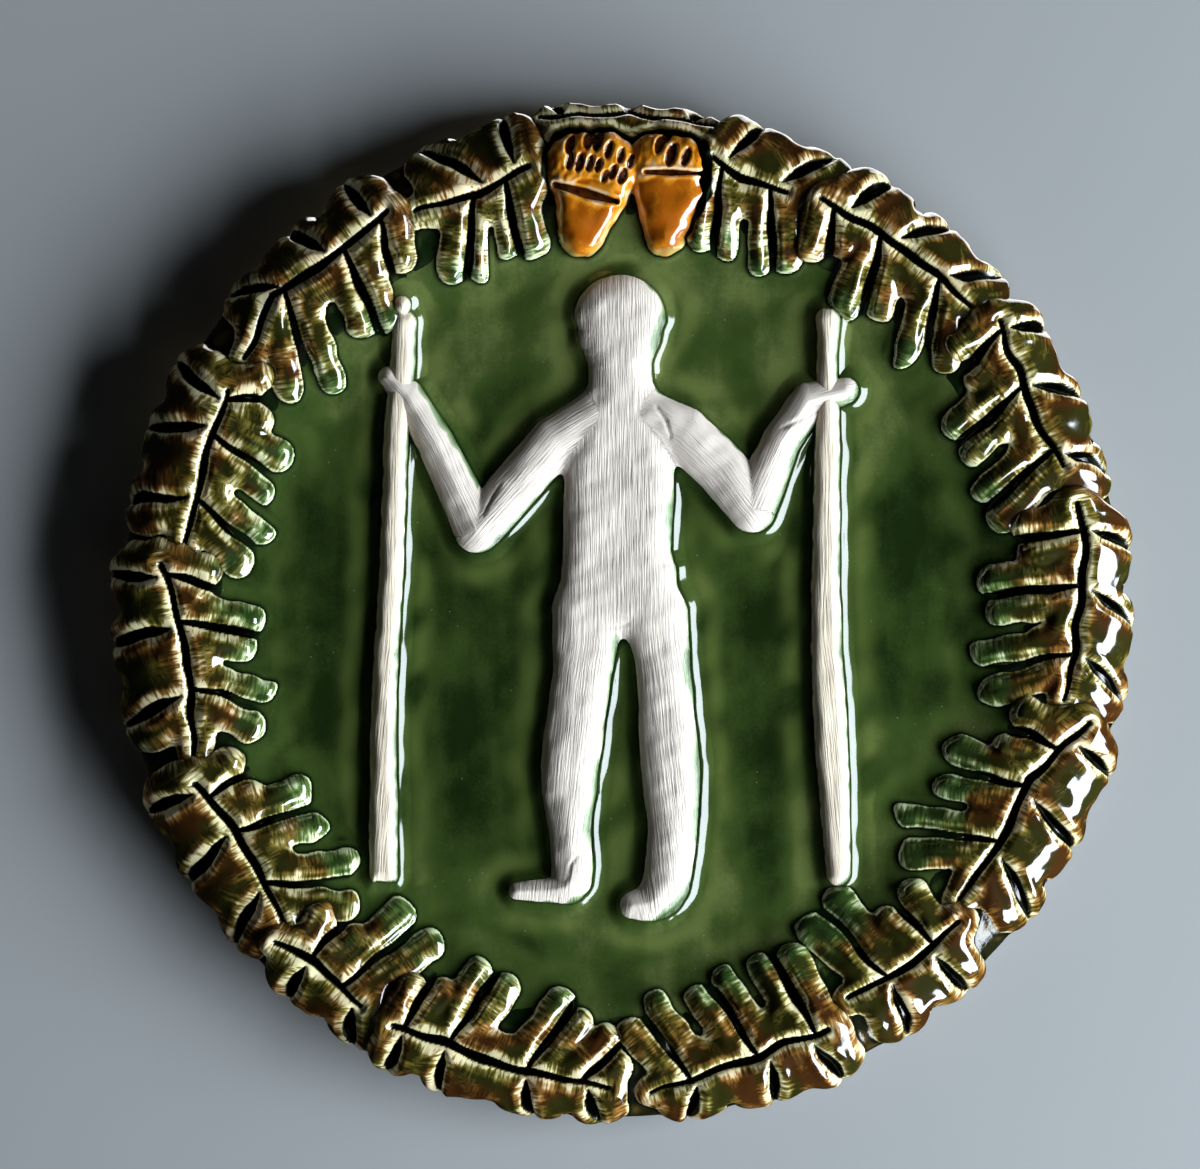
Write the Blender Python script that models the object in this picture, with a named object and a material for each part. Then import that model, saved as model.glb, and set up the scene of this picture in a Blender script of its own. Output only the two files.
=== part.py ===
# Wall plaque: one press-moulded and hand-carved earthenware disc, built as a single closed solid.
# All sizes are in millimetres until the last step. The plaque hangs in the XZ plane: its flat back
# lies on y = 0 and its face looks along -Y. Everything carved is a height above a smooth slab, drawn
# on the slab's developed surface: a place is (clock angle, rho), where rho is the radius on the face
# and carries on as a length measured over the rounded shoulder and down the side.
import math

import bmesh
import bpy
import numpy as np
from mathutils import Vector
from mathutils.geometry import delaunay_2d_cdt

# slab sizes
SLAB_R = 97.6       # the slab's widest radius, bare of leaves
FIELD_H = 10.0      # thickness at the middle
RING_RISE = 2.6     # the wreath's band stands this much above the field
BAND_W = 26.8       # the wreath's band, from the slab's edge in to the lobes' ends
SLOPE_OUT, SLOPE_IN = 4.8, 11.2   # the rise to the band: outside and inside the lobes' ends
SHOULDER_W, SHOULDER_H = 9.6, 7.6  # the rounded shoulder, across and down
BACK_IN = 2.0       # the side leans in by this much on its way to the back
# relief sizes
LEAF_T = 2.3        # leaf thickness
LEAF_EDGE = 1.5     # width of its rounded edge
LEAF_LIFT = 0.9     # each leaf's base lies over the tip of the one before
LEAF_BODY = 6.2     # half width of a leaf's middle, without its lobes
FINGER = 3.1        # radius of a lobe's finger end
FINGER_SHORT = 2.6  # a finger's last round end is centred this far short of its vein's end
TIP_OVER = 2.0      # an outer lobe reaches this far past its vein's end
NICK = 1.25         # mean depth of the round nicks between outer lobes
VEIN_SHORT = 0.6    # a vein's groove stops this far short of the vein's end
GROOVE_HALF, GROOVE_D = 1.0, 1.5   # the tool grooves of midribs and veins
FOOT_GAP, HEAD_GAP = 11.1, 4.1     # clear field under the figure's feet and over its head
FIGURE_T, FIGURE_EDGE = 3.2, 3.6
STAFF_T, STAFF_EDGE = 2.7, 2.6
ACORN_T, ACORN_EDGE, ACORN_GROOVE = 4.0, 6.0, 1.4
# hanging notch in the back
NOTCH_W, NOTCH_H, NOTCH_D, NOTCH_UNDER = 14.0, 8.0, 6.0, 2.5
NOTCH_FALL = 27.6   # from the slab's edge down to the notch's top

# what follows from them
SHOULDER_R = SLAB_R - SHOULDER_W
FIELD_R = SLAB_R - BAND_W
SIDE_H = FIELD_H + RING_RISE - SHOULDER_H
BACK_R = SLAB_R - BACK_IN
FIGURE_H = 2 * FIELD_R - FOOT_GAP - HEAD_GAP
FOOT_Z = FOOT_GAP - FIELD_R

# the wreath: each leaf's midrib as (clock angle in degrees, share), then the lobes on its inner and its
# outer side as (how far along the midrib the vein starts, clock angle, share where it ends). A share
# runs from 0 at the field's edge to 1 where the shoulder meets the side.
LEAVES = {
    "crown": ([(-9.5, 0.86), (0.5, 0.89), (10.5, 0.86)],
          [],
          [(0.15, -8.0, 0.99), (0.5, 1.0, 1.0), (0.85, 9.5, 0.99)]),
    "l1": ([(-11.7, 0.58), (-18.6, 0.51), (-27.1, 0.55)],
          [(0.24, -15.6, 0.07), (0.5, -24.9, 0.05)],
          [(0.12, -13.6, 0.97), (0.34, -24.0, 0.95)]),
    "l2": ([(-30.2, 0.63), (-41.0, 0.61), (-47.8, 0.67), (-55.4, 0.57)],
          [(0.05, -33.9, 0.3), (0.27, -40.6, 0.06), (0.62, -54.2, 0.1)],
          [(0.08, -32.8, 0.95), (0.33, -41.5, 0.99), (0.6, -51.0, 0.97)]),
    "l3": ([(-60.3, 0.56), (-68.3, 0.51), (-80.2, 0.49)],
          [(0.05, -58.6, 0.3), (0.3, -68.6, 0.03), (0.72, -80.2, 0.02)],
          [(0.08, -60.5, 0.97), (0.25, -68.7, 0.99), (0.7, -77.0, 0.99)]),
    "l4": ([(-83.6, 0.61), (-91.3, 0.48), (-98.0, 0.44), (-108.1, 0.53)],
          [(0.05, -86.0, 0.28), (0.3, -93.0, 0.01), (0.64, -104.8, 0.02)],
          [(0.06, -85.4, 0.95), (0.32, -93.4, 0.99), (0.66, -102.6, 0.99)]),
    "l5": ([(-111.3, 0.58), (-118.6, 0.48), (-124.8, 0.5), (-132.6, 0.58)],
          [(0.1, -113.0, 0.24), (0.36, -122.0, -0.04), (0.72, -135.2, 0.06)],
          [(0.05, -112.4, 0.94), (0.36, -121.6, 0.99), (0.72, -130.4, 0.99)]),
    "l6": ([(-133.2, 0.68), (-138.5, 0.61), (-146.0, 0.64)],
          [(0.35, -137.6, 0.27), (0.75, -147.0, -0.01)],
          [(0.35, -138.8, 0.97), (0.9, -148.0, 0.99)]),
    "l7": ([(-150.8, 0.64), (-158.0, 0.6), (-165.0, 0.63), (-178.2, 0.66)],
          [(0.05, -152.4, 0.28), (0.26, -160.6, 0.05), (0.62, -173.4, 0.14), (0.88, -179.8, 0.4)],
          [(0.05, -152.6, 0.95), (0.24, -159.0, 0.97), (0.62, -170.1, 0.99), (0.9, -177.4, 0.97)]),
    "r1": ([(11.1, 0.63), (15.4, 0.55), (21.1, 0.56)],
          [(0.14, 14.0, 0.05), (0.8, 23.6, 0.06)],
          [(0.17, 16.4, 0.99), (0.85, 25.1, 0.97)]),
    "r2": ([(25.6, 0.6), (34.4, 0.6), (42.4, 0.61), (48.3, 0.63)],
          [(0.08, 29.6, 0.3), (0.38, 38.6, 0.1), (0.78, 50.4, 0.14)],
          [(0.14, 32.0, 0.95), (0.44, 40.4, 0.99), (0.77, 48.5, 0.99)]),
    "r3": ([(52.0, 0.69), (60.6, 0.61), (64.4, 0.58), (71.0, 0.62)],
          [(0.06, 54.0, 0.32), (0.42, 63.2, 0.06), (0.88, 73.6, 0.08)],
          [(0.06, 56.0, 0.97), (0.42, 64.8, 0.99), (0.89, 73.6, 0.99)]),
    "r4": ([(76.2, 0.64), (82.2, 0.63), (92.0, 0.56), (100.8, 0.53)],
          [(0.14, 79.1, 0.23), (0.41, 87.0, -0.02), (0.76, 99.2, -0.04)],
          [(0.12, 82.6, 0.97), (0.4, 91.3, 0.99), (0.74, 100.0, 0.99)]),
    "r5": ([(103.0, 0.68), (112.0, 0.46), (121.5, 0.47), (130.3, 0.47)],
          [(0.16, 106.0, 0.2), (0.4, 115.3, -0.07), (0.66, 128.0, -0.09)],
          [(0.1, 108.4, 0.97), (0.42, 117.5, 0.99), (0.7, 127.0, 0.97)]),
    "r6": ([(132.4, 0.55), (140.0, 0.54), (149.4, 0.5)],
          [(0.25, 136.4, 0.16), (0.68, 146.0, -0.1)],
          [(0.3, 137.4, 0.97), (0.66, 145.7, 0.97)]),
    "r7": ([(153.6, 0.59), (163.0, 0.59), (176.5, 0.7)],
          [(0.06, 156.4, 0.03), (0.4, 167.0, 0.07), (0.78, 177.6, 0.18)],
          [(0.1, 154.4, 0.97), (0.34, 162.4, 0.99), (0.74, 172.4, 0.99)]),
}

# the standing figure and its staves: (x, height, half width) along each limb, in hundredths of the
# figure's height
LIMBS = {
    "head": [(-0.4, 92.6, 7.4), (-0.5, 87.7, 5.6), (-0.3, 82.8, 4.7)],
    "trunk": [(-0.3, 82.8, 4.7), (-0.4, 76.5, 6.6), (-0.5, 69.4, 8.7), (-0.9, 56.7, 8.6),
              (-0.6, 53.4, 9.3)],
    "left_leg": [(-5.4, 47.5, 5.9), (-6.25, 37.6, 4.85), (-8.15, 24.3, 4.85), (-8.1, 14.0, 3.6),
                 (-7.8, 6.9, 3.5), (-10.3, 5.3, 2.4), (-16.2, 5.0, 1.6)],
    "right_leg": [(5.1, 47.5, 5.3), (6.4, 37.6, 4.5), (7.3, 24.3, 4.9), (7.7, 14.0, 4.1),
                  (6.6, 6.1, 4.0), (4.4, 3.4, 3.3), (1.7, 2.9, 2.5)],
    "left_arm": [(-4.7, 77.8, 4.0), (-10.3, 74.3, 4.1), (-15.8, 67.8, 4.1), (-22.3, 60.5, 3.9),
                 (-28.6, 73.8, 3.2), (-32.9, 80.9, 2.9), (-35.8, 83.9, 2.0)],
    "right_arm": [(4.0, 78.1, 4.0), (9.5, 75.2, 4.4), (15.3, 69.7, 4.4), (19.9, 63.8, 4.1),
                  (24.3, 74.0, 3.3), (28.5, 80.3, 3.1), (34.2, 81.9, 2.4)],
}
STAVES = {
    "left": [(-33.5, 92.3, 2.1), (-34.0, 82.8, 2.2), (-34.8, 74.9, 2.1), (-35.4, 55.9, 2.1),
             (-36.6, 34.6, 2.2), (-36.7, 7.7, 2.5)],
    "right": [(31.6, 92.8, 2.2), (31.4, 87.2, 1.8), (31.5, 76.5, 2.1), (31.2, 47.2, 2.5),
              (32.1, 27.5, 2.8), (33.1, 7.7, 2.1)],
}
STAFF_ENDS = {"left": (6.2, 94.2), "right": (4.7, 94.9)}   # where the staves are cut square
FINIAL = [(-33.9, 95.0, 1.5), (-33.9, 95.2, 1.5)]
# acorns: cup and nut as (x, height above the field's edge, half width), and the groove where the nut
# leaves its cup, all as shares of the band's width
ACORNS = {
    "right": ([(0.243, 0.616, 0.228), (0.418, 0.601, 0.213)],
              [(0.347, 0.44, 0.287), (0.306, 0.116, 0.153)],
              [(0.168, 0.559), (0.35, 0.556), (0.571, 0.55)]),
    "left": ([(-0.336, 0.601, 0.235), (-0.131, 0.59, 0.257)],
             [(-0.235, 0.399, 0.272), (-0.295, 0.127, 0.172)],
             [(-0.489, 0.47), (-0.27, 0.41), (-0.045, 0.357)]),
}

# glazes and slip: base colour, roughness
LOOKS = {
    "field_glaze": ((0.016, 0.055, 0.012), 0.12),
    "leaf_glaze": ((0.07, 0.045, 0.012), 0.15),
    "amber_glaze": ((0.36, 0.10, 0.012), 0.15),
    "white_slip": ((0.62, 0.58, 0.53), 0.85),
    "bare_clay": ((0.42, 0.30, 0.22), 0.9),
}

# the slab's profile: radius, height and outward normal for every rho
def slab_profile():
    rho = list(np.linspace(0.0, SHOULDER_R, 177))
    t = np.clip((np.array(rho) - FIELD_R + SLOPE_OUT) / (SLOPE_OUT + SLOPE_IN), 0, 1)
    pts = [(r, FIELD_H + RING_RISE * s) for r, s in zip(rho, t * t * (3 - 2 * t))]
    top = FIELD_H + RING_RISE
    for a in np.linspace(0, math.pi / 2, 41)[1:]:
        pts.append((SHOULDER_R + SHOULDER_W * math.sin(a), SIDE_H + (top - SIDE_H) * math.cos(a)))
    wall = len(pts) - 1
    wall_rows = ((0.08, 0.68), (0.3, 0.32), (0.55, 0.12), (1.0, 0.0))
    pts += [(SLAB_R - BACK_IN * a, SIDE_H * b) for a, b in wall_rows]
    pts = np.array(pts)
    for i in range(len(rho), len(pts)):
        rho.append(rho[-1] + float(np.hypot(*(pts[i] - pts[i - 1]))))
    rho = np.array(rho)
    slope = np.gradient(pts, rho, axis=0)
    n = np.stack([-slope[:, 1], slope[:, 0]], 1)
    return rho, pts, n / np.linalg.norm(n, axis=1)[:, None], rho[wall]


RHO, PROFILE, NORMAL, RHO_WALL = slab_profile()
RHO_END = float(RHO[-1])


def wrap(p, h):
    """Points of the developed surface, raised by h, as the plaque's own x, y, z."""
    rho = np.hypot(p[:, 0], p[:, 1])
    way = p / np.maximum(rho, 1e-9)[:, None]
    r = np.interp(rho, RHO, PROFILE[:, 0]) + h * np.interp(rho, RHO, NORMAL[:, 0])
    y = np.interp(rho, RHO, PROFILE[:, 1]) + h * np.interp(rho, RHO, NORMAL[:, 1])
    return np.stack([way[:, 0] * r, -y, way[:, 1] * r], 1)


def clock(angle, share):
    a, rho = math.radians(angle), FIELD_R + share * (RHO_WALL - FIELD_R)
    return np.array([rho * math.sin(a), rho * math.cos(a)])


# distances in the plane
def limb(p, pts):
    """Distance outside a row of round ends joined by tapering sides, and how far along it."""
    best, along = np.full(len(p), 1e9), np.zeros(len(p))
    pts = [np.array(q, float) for q in pts]
    steps = [np.linalg.norm(b[:2] - a[:2]) for a, b in zip(pts, pts[1:])]
    total, done = sum(steps) or 1.0, 0.0
    for a, b, step in zip(pts, pts[1:], steps):
        ab = b[:2] - a[:2]
        t = np.clip(((p - a[:2]) @ ab) / max(ab @ ab, 1e-9), 0, 1)
        d = np.linalg.norm(p - a[:2] - t[:, None] * ab, axis=1) - (a[2] + (b[2] - a[2]) * t)
        nearer = d < best
        best = np.where(nearer, d, best)
        along = np.where(nearer, (done + t * step) / total, along)
        done += step
    return best, along


def blend(a, b, k):
    h = np.clip(0.5 + 0.5 * (b - a) / k, 0, 1)
    return b + (a - b) * h - k * h * (1 - h)


def round_edge(d, width):
    s = 1 - np.clip(d / width, 0, 1)
    return np.sqrt(np.maximum(1 - s * s, 0))


def polyline_at(pts, s):
    steps = np.linalg.norm(np.diff(pts, axis=0), axis=1)
    at = np.concatenate([[0], np.cumsum(steps)]) / steps.sum()
    return np.array([np.interp(s, at, pts[:, 0]), np.interp(s, at, pts[:, 1])])


class Leaf:
    """An oak leaf: a blade along its midrib, inner lobes of two fingers, and a nicked outer edge."""

    look = "leaf_glaze"

    def __init__(self, name, seed):
        rib, inner, outer = LEAVES[name]
        self.rib = np.array([clock(*q) for q in rib])
        self.seed = seed
        middle = (LEAF_BODY if inner else 0.6 * LEAF_BODY)
        ends = [0.66 * middle, *([middle] * (len(rib) - 2)), 0.55 * middle]
        self.body = [(*q, w) for q, w in zip(self.rib, ends)]
        self.veins, self.fingers, self.blade, self.nicks = [self.rib], [], None, []
        for side in (inner, outer):
            tips, halfway = [clock(a, r) for _, a, r in side], []
            for i, (s, _, _) in enumerate(side):
                start, tip = polyline_at(self.rib, s), tips[i]
                others = [np.linalg.norm(tip - q) for j, q in enumerate(tips) if j != i]
                near = min(others or [4.5 * FINGER])
                way = tip - start
                reach = np.linalg.norm(way)
                way = way / reach
                across = np.array([-way[1], way[0]])
                if side is outer:
                    r = min(2.2 * FINGER, 0.52 * near)
                    self.fingers.append([(*start, r), (*(start + way * (reach + TIP_OVER - r)), r)])
                    self.veins.append(np.array([start, start + way * (reach - VEIN_SHORT)]))
                    halfway.append((*(start + way * reach * 0.55), 0.42 * reach))
                    continue
                half = min(2.5 * FINGER, 0.49 * near)
                r = min(1.05 * FINGER, half * 0.57)
                for sign in (1, -1):
                    wave = 0.8 * math.sin(7 * s + 3 * i + 2 * sign + self.seed)
                    end = start + way * (reach - FINGER_SHORT + wave) + across * sign * (half - r)
                    root = start + across * sign * min(0.8 * FINGER, half - r)
                    self.fingers.append([(*root, 0.95 * FINGER), (*end, r)])
                self.veins.append(np.array([start, start + way * (reach - VEIN_SHORT)]))
            if side is outer and inner:
                self.blade = halfway
                for k, (a, b) in enumerate(zip(tips, tips[1:])):
                    mid = (a + b) / 2
                    out = mid / np.hypot(*mid)
                    deep = NICK * (1 + math.sin(3 * k + self.seed))
                    self.nicks.append([(*(mid + out * 5), 1.9), (*(mid - out * deep), 0.85)])

    def distance(self, p):
        d, self.along = limb(p, self.body)
        if self.blade:
            d = blend(d, limb(p, self.blade)[0], 1.5)
        for f in self.fingers:
            d = blend(d, limb(p, f)[0], 1.3)
        for nick in self.nicks:
            d = -blend(-d, limb(p, nick)[0], 1.2)
        return d

    def vein_distance(self, p):
        d = np.full(len(p), 1e9)
        for v in self.veins:
            d = np.minimum(d, limb(p, [(*q, 0.0) for q in v])[0])
        return d - GROOVE_HALF

    def height(self, p):
        d = -self.distance(p)
        lift = LEAF_LIFT * np.clip(1 - self.along / 0.6, 0, 1) - 0.3 * self.along
        h = round_edge(d, LEAF_EDGE) * (LEAF_T + lift + 0.4 * np.clip(d / 4, 0, 1))
        groove = GROOVE_D * np.clip(-self.vein_distance(p) / GROOVE_HALF, 0, 1)
        return np.where(d > 0, np.maximum(h - groove, 0.25 * h), 0)

    def lines(self):
        return [v for v in self.veins]


def figure_point(x, height, half):
    unit = FIGURE_H / 100
    return x * unit, FOOT_Z + height * unit, half * unit


def acorn_point(x, height, half=0.0):
    return x * BAND_W, FIELD_R + height * BAND_W, half * BAND_W


class Rounded:
    """Limbs blended into one rounded shape, with its ends cut square where ends gives their heights."""

    def __init__(self, look, limbs, thick, edge, blend_by=2.0, cuts=(), ends=None, knob=None):
        self.look, self.limbs, self.thick, self.edge, self.k = look, limbs, thick, edge, blend_by
        self.cuts, self.ends, self.knob = cuts, ends, knob

    def distance(self, p):
        d = limb(p, self.limbs[0])[0]
        for more in self.limbs[1:]:
            d = blend(d, limb(p, more)[0], self.k)
        if self.ends:
            d = np.maximum(d, np.maximum(self.ends[0] - p[:, 1], p[:, 1] - self.ends[1]))
        if self.knob:
            d = np.minimum(d, limb(p, self.knob)[0])
        return d

    def vein_distance(self, p):
        d = np.full(len(p), 1e9)
        for cut in self.cuts:
            d = np.minimum(d, limb(p, [(*q, 0.0) for q in cut])[0])
        return d - GROOVE_HALF

    def height(self, p):
        d = -self.distance(p)
        h = self.thick * round_edge(d, self.edge)
        groove = ACORN_GROOVE * np.clip(-self.vein_distance(p) / GROOVE_HALF, 0, 1)
        return np.where(d > 0, np.maximum(h - groove, 0.25 * h), 0)

    def lines(self):
        return [np.array(c) for c in self.cuts]


def pieces():
    """Every carved piece, each one lying over those before it."""
    made = [Leaf(name, 3 * i + 1) for i, name in enumerate(LEAVES)]
    for cup, nut, cut in ACORNS.values():
        parts = [[acorn_point(*q) for q in part] for part in (cup, nut)]
        groove = [[acorn_point(*q)[:2] for q in cut]]
        made.append(Rounded("amber_glaze", parts, ACORN_T, ACORN_EDGE, 1.0, groove))
    for side, rod in STAVES.items():
        ends = [figure_point(0, v, 0)[1] for v in STAFF_ENDS[side]]
        knob = [figure_point(*q) for q in FINIAL] if side == "left" else None
        bar = [figure_point(*q) for q in rod]
        made.append(Rounded("white_slip", [bar], STAFF_T, STAFF_EDGE, ends=ends, knob=knob))
    limbs = [[figure_point(*q) for q in part] for part in LIMBS.values()]
    made.append(Rounded("white_slip", limbs, FIGURE_T, FIGURE_EDGE))
    return made


# tracing an outline: where a distance crosses a level, as a closed row of points
def outlines(distance, level, centre, reach, step=0.5):
    n = int(2 * reach / step) + 1
    x = centre[0] - reach + step * np.arange(n)
    z = centre[1] - reach + step * np.arange(n)
    gx, gz = np.meshgrid(x, z, indexing="ij")
    f = (distance(np.stack([gx.ravel(), gz.ravel()], 1)) - level).reshape(n, n)
    f[np.abs(f) < 1e-6] = 1e-6
    inside = f < 0
    cells = inside[:-1, :-1].astype(int) + inside[1:, :-1] + inside[1:, 1:] + inside[:-1, 1:]
    nxt = {}
    for i, j in zip(*np.nonzero((cells > 0) & (cells < 4))):
        corner = [(i, j), (i + 1, j), (i + 1, j + 1), (i, j + 1)]
        cross = []
        for a, b in zip(corner, corner[1:] + corner[:1]):
            if inside[a] != inside[b]:
                cross.append((min(a, b), max(a, b), bool(inside[a])))
        ins = [c for c in cross if c[2]]
        outs = [c for c in cross if not c[2]]
        if len(ins) == 2 and ins and outs:
            order = {c: k for k, c in enumerate(cross)}
            outs = sorted(outs, key=lambda c: (order[c] - order[ins[0]]) % 4)
        for a, b in zip(ins, outs):
            nxt[a[:2]] = b[:2]
    loops = []
    while nxt:
        start = next(iter(nxt))
        row, at = [], start
        while at in nxt:
            row.append(at)
            at = nxt.pop(at)
        pts = []
        for a, b in row:
            t = f[a] / (f[a] - f[b])
            pts.append([x[a[0]] + t * (x[b[0]] - x[a[0]]), z[a[1]] + t * (z[b[1]] - z[a[1]])])
        if len(pts) > 8:
            loops.append(np.array(pts))
    return loops


def thinned(loop, within, longest):
    """A closed row with the points a straight side can spare left out."""
    keep = np.zeros(len(loop), bool)
    far = int(np.argmax(np.linalg.norm(loop - loop[0], axis=1)))
    keep[[0, far]] = True
    spans = [(0, far), (far, len(loop))]
    while spans:
        a, b = spans.pop()
        if b - a < 2:
            continue
        start, end = loop[a], loop[b % len(loop)]
        ab = end - start
        length = max(float(np.hypot(*ab)), 1e-9)
        off = loop[a + 1:b] - start
        d = np.abs(off[:, 0] * ab[1] - off[:, 1] * ab[0]) / length
        k = int(np.argmax(d)) + a + 1
        if d.max() > within or length > longest:
            if d.max() <= within:
                k = (a + b) // 2
            keep[k] = True
            spans += [(a, k), (k, b)]
    return loop[keep]


class Drawing:
    """Points and lines for the triangulation, each point kept clear of the others."""

    def __init__(self):
        self.points, self.edges, self.cells = [], [], {}

    def add(self, q, clear):
        cell = (round(q[0] / 0.8), round(q[1] / 0.8))
        for i in range(-1, 2):
            for j in range(-1, 2):
                for k in self.cells.get((cell[0] + i, cell[1] + j), ()):
                    if np.hypot(*(self.points[k] - q)) < clear:
                        return k
        self.points.append(np.array(q, float))
        self.cells.setdefault(cell, []).append(len(self.points) - 1)
        return len(self.points) - 1

    def row(self, pts, keep, closed, clear=0.3):
        ids = [self.add(q, clear) if k else None for q, k in zip(pts, keep)]
        pairs = list(zip(ids, ids[1:])) + ([(ids[-1], ids[0])] if closed else [])
        for a, b in pairs:
            if a is not None and b is not None and a != b:
                self.edges.append((a, b))


def draw(made):
    pic = Drawing()
    ring = 108
    turn = np.linspace(0, 2 * math.pi, ring, endpoint=False)
    rim = np.stack([np.sin(turn), np.cos(turn)], 1)
    last = RHO_END - 0.5 * (RHO_END - RHO_WALL) / 2
    pic.row(rim * RHO_END, [True] * ring, True)
    pic.row(rim * last, [True] * ring, True)

    def hidden(pts, later):
        gone = np.hypot(pts[:, 0], pts[:, 1]) > last - 0.6
        for other in later:
            gone |= other.distance(pts) < 0
        return gone

    for i, piece in enumerate(made):
        if isinstance(piece, Leaf):
            c, reach = piece.rib.mean(0), np.ptp(piece.rib, axis=0).max() / 2 + BAND_W + 4
            tol, longest, levels = 0.22, 7.0, (-0.08, -LEAF_EDGE * 0.62)
        else:
            spots = np.array([q[:2] for part in piece.limbs for q in part])
            c, reach = spots.mean(0), np.ptp(spots, axis=0).max() * 0.75 + 16
            tol, longest, levels = 0.14, 12.0, (-0.08, -piece.edge * 0.3, -piece.edge * 0.8)
        for level in levels:
            for loop in outlines(piece.distance, level, c, reach, 0.6):
                loop = thinned(loop, tol, longest)
                if len(loop) > 3:
                    pic.row(loop, ~hidden(loop, made[i + 1:]), True)
        if piece.lines():
            inset = LEAF_EDGE * 0.3

            def grooved(q):
                return np.maximum(piece.vein_distance(q), piece.distance(q) + inset)

            for loop in outlines(grooved, 0.0, c, reach, 0.5):
                loop = thinned(loop, 0.2, 8.0)
                if len(loop) > 3:
                    pic.row(loop, ~hidden(loop, made[i + 1:]), True)
            for line in piece.lines():
                n = max(2, int(np.linalg.norm(line[-1] - line[0]) / 7) + 1)
                pts = np.array([polyline_at(line, s) for s in np.linspace(0, 1, n)])
                inside = piece.distance(pts) < -inset
                pic.row(pts, inside & ~hidden(pts, made[i + 1:]), False)
    # a loose net of points carries the slab's own curve between the pieces
    slope = FIELD_R - SLOPE_OUT
    net = [(slope * 0.36, 10), (slope * 0.72, 20), (slope, 40)]
    net += [(rho, 50) for rho in np.linspace(slope, SHOULDER_R, 5)[1:]]
    net += [(rho, 60) for rho in np.linspace(SHOULDER_R, last, 6)[1:-1]]
    for rho, n in net:
        turn = np.linspace(0, 2 * math.pi, n, endpoint=False)
        for q in np.stack([np.sin(turn), np.cos(turn)], 1) * rho:
            pic.add(q, 1.5)
    pic.add((0.0, 0.0), 1.5)
    return pic, last


def height(made, p):
    """The relief's height at each point, and which piece makes it."""
    h, which = np.zeros(len(p)), np.full(len(p), -1)
    for i, piece in enumerate(made):
        own = piece.height(p)
        which = np.where(own > h, i, which)
        h = np.maximum(h, own)
    return h, which


# the back: a flat disc round a shallow notch that a nail's head can hook under
def back_of(rim_ids, points):
    """Faces and added points for the back, joined to the rim's own points."""
    z0 = SLAB_R - NOTCH_FALL - NOTCH_H
    z1 = z0 + NOTCH_H
    mouth = [(-NOTCH_W / 2, z0), (NOTCH_W / 2, z0), (NOTCH_W / 2, z1), (-NOTCH_W / 2, z1)]
    rim = [(points[i][0], points[i][2]) for i in rim_ids]
    verts = [Vector(q) for q in rim + mouth]
    n = len(rim)
    edges = [(i, (i + 1) % n) for i in range(n)] + [(n, n + 1), (n + 1, n + 2), (n + 2, n + 3), (n + 3, n)]
    out, _, faces, source, _, _ = delaunay_2d_cdt(verts, edges, [], 0, 1e-5)
    ids = []
    added = []
    for v, src in zip(out, source):
        first = src[0] if src else -1
        if 0 <= first < n:
            ids.append(rim_ids[first])
        else:
            ids.append(len(points) + len(added))
            added.append((v.x, 0.0, v.y))
    at = {tuple(round(c, 4) for c in (a[0], a[2])): len(points) + k for k, a in enumerate(added)}
    mouth_ids = [at[(round(x, 4), round(z, 4))] for x, z in mouth]
    made = []
    for f in faces:
        mid = sum((out[k] for k in f), Vector((0, 0))) / 3
        if abs(mid.x) < NOTCH_W / 2 and z0 < mid.y < z1:
            continue
        made.append([ids[k] for k in f])
    floor = []
    for x, z in mouth:
        floor.append(len(points) + len(added))
        added.append((x, -NOTCH_D, z + NOTCH_UNDER))
    for k in range(4):
        a, b = k, (k + 1) % 4
        made.append([mouth_ids[a], mouth_ids[b], floor[b]])
        made.append([mouth_ids[a], floor[b], floor[a]])
    made += [[floor[0], floor[1], floor[2]], [floor[0], floor[2], floor[3]]]
    return added, made


def look_of(name):
    colour, rough = LOOKS[name]
    material = bpy.data.materials.new(name)
    material.use_nodes = True
    shader = material.node_tree.nodes["Principled BSDF"]
    shader.inputs["Base Color"].default_value = (*colour, 1)
    shader.inputs["Roughness"].default_value = rough
    shader.inputs["Metallic"].default_value = 0
    return material


def build():
    for old in list(bpy.data.objects):
        bpy.data.objects.remove(old, do_unlink=True)
    made = pieces()
    pic, last = draw(made)
    verts, _, faces, _, _, _ = delaunay_2d_cdt([Vector(q) for q in pic.points], pic.edges, [], 0, 1e-4)
    flat = np.array([(v.x, v.y) for v in verts])
    faces = np.array([list(f) for f in faces])
    h, _ = height(made, flat)
    h[np.hypot(flat[:, 0], flat[:, 1]) > last - 0.1] = 0
    points = [tuple(q) for q in wrap(flat, h)]
    rim = [i for i, q in enumerate(flat) if np.hypot(*q) > RHO_END - 0.01]
    rim.sort(key=lambda i: math.atan2(flat[i][0], flat[i][1]))
    added, back = back_of(rim, points)
    mesh = bpy.data.meshes.new("plaque")
    mesh.from_pydata([Vector(q) / 1000 for q in points + added], [], faces.tolist() + back)

    # each face takes the look of the piece it lies on
    names = list(LOOKS)
    for name in names:
        mesh.materials.append(look_of(name))
    _, which = height(made, flat[faces].mean(axis=1))
    for i, face in enumerate(mesh.polygons):
        if i >= len(which):
            face.material_index = names.index("bare_clay")
        elif which[i] >= 0:
            face.material_index = names.index(made[which[i]].look)

    body = bpy.data.objects.new("plaque", mesh)
    bpy.context.scene.collection.objects.link(body)
    bm = bmesh.new()
    bm.from_mesh(mesh)
    bmesh.ops.recalc_face_normals(bm, faces=bm.faces)
    if bm.calc_volume(signed=True) < 0:
        bmesh.ops.reverse_faces(bm, faces=bm.faces)
    bm.to_mesh(mesh)
    bm.free()
    mesh.shade_smooth()
    mesh.set_sharp_from_angle(angle=math.radians(35))


build()
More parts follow.
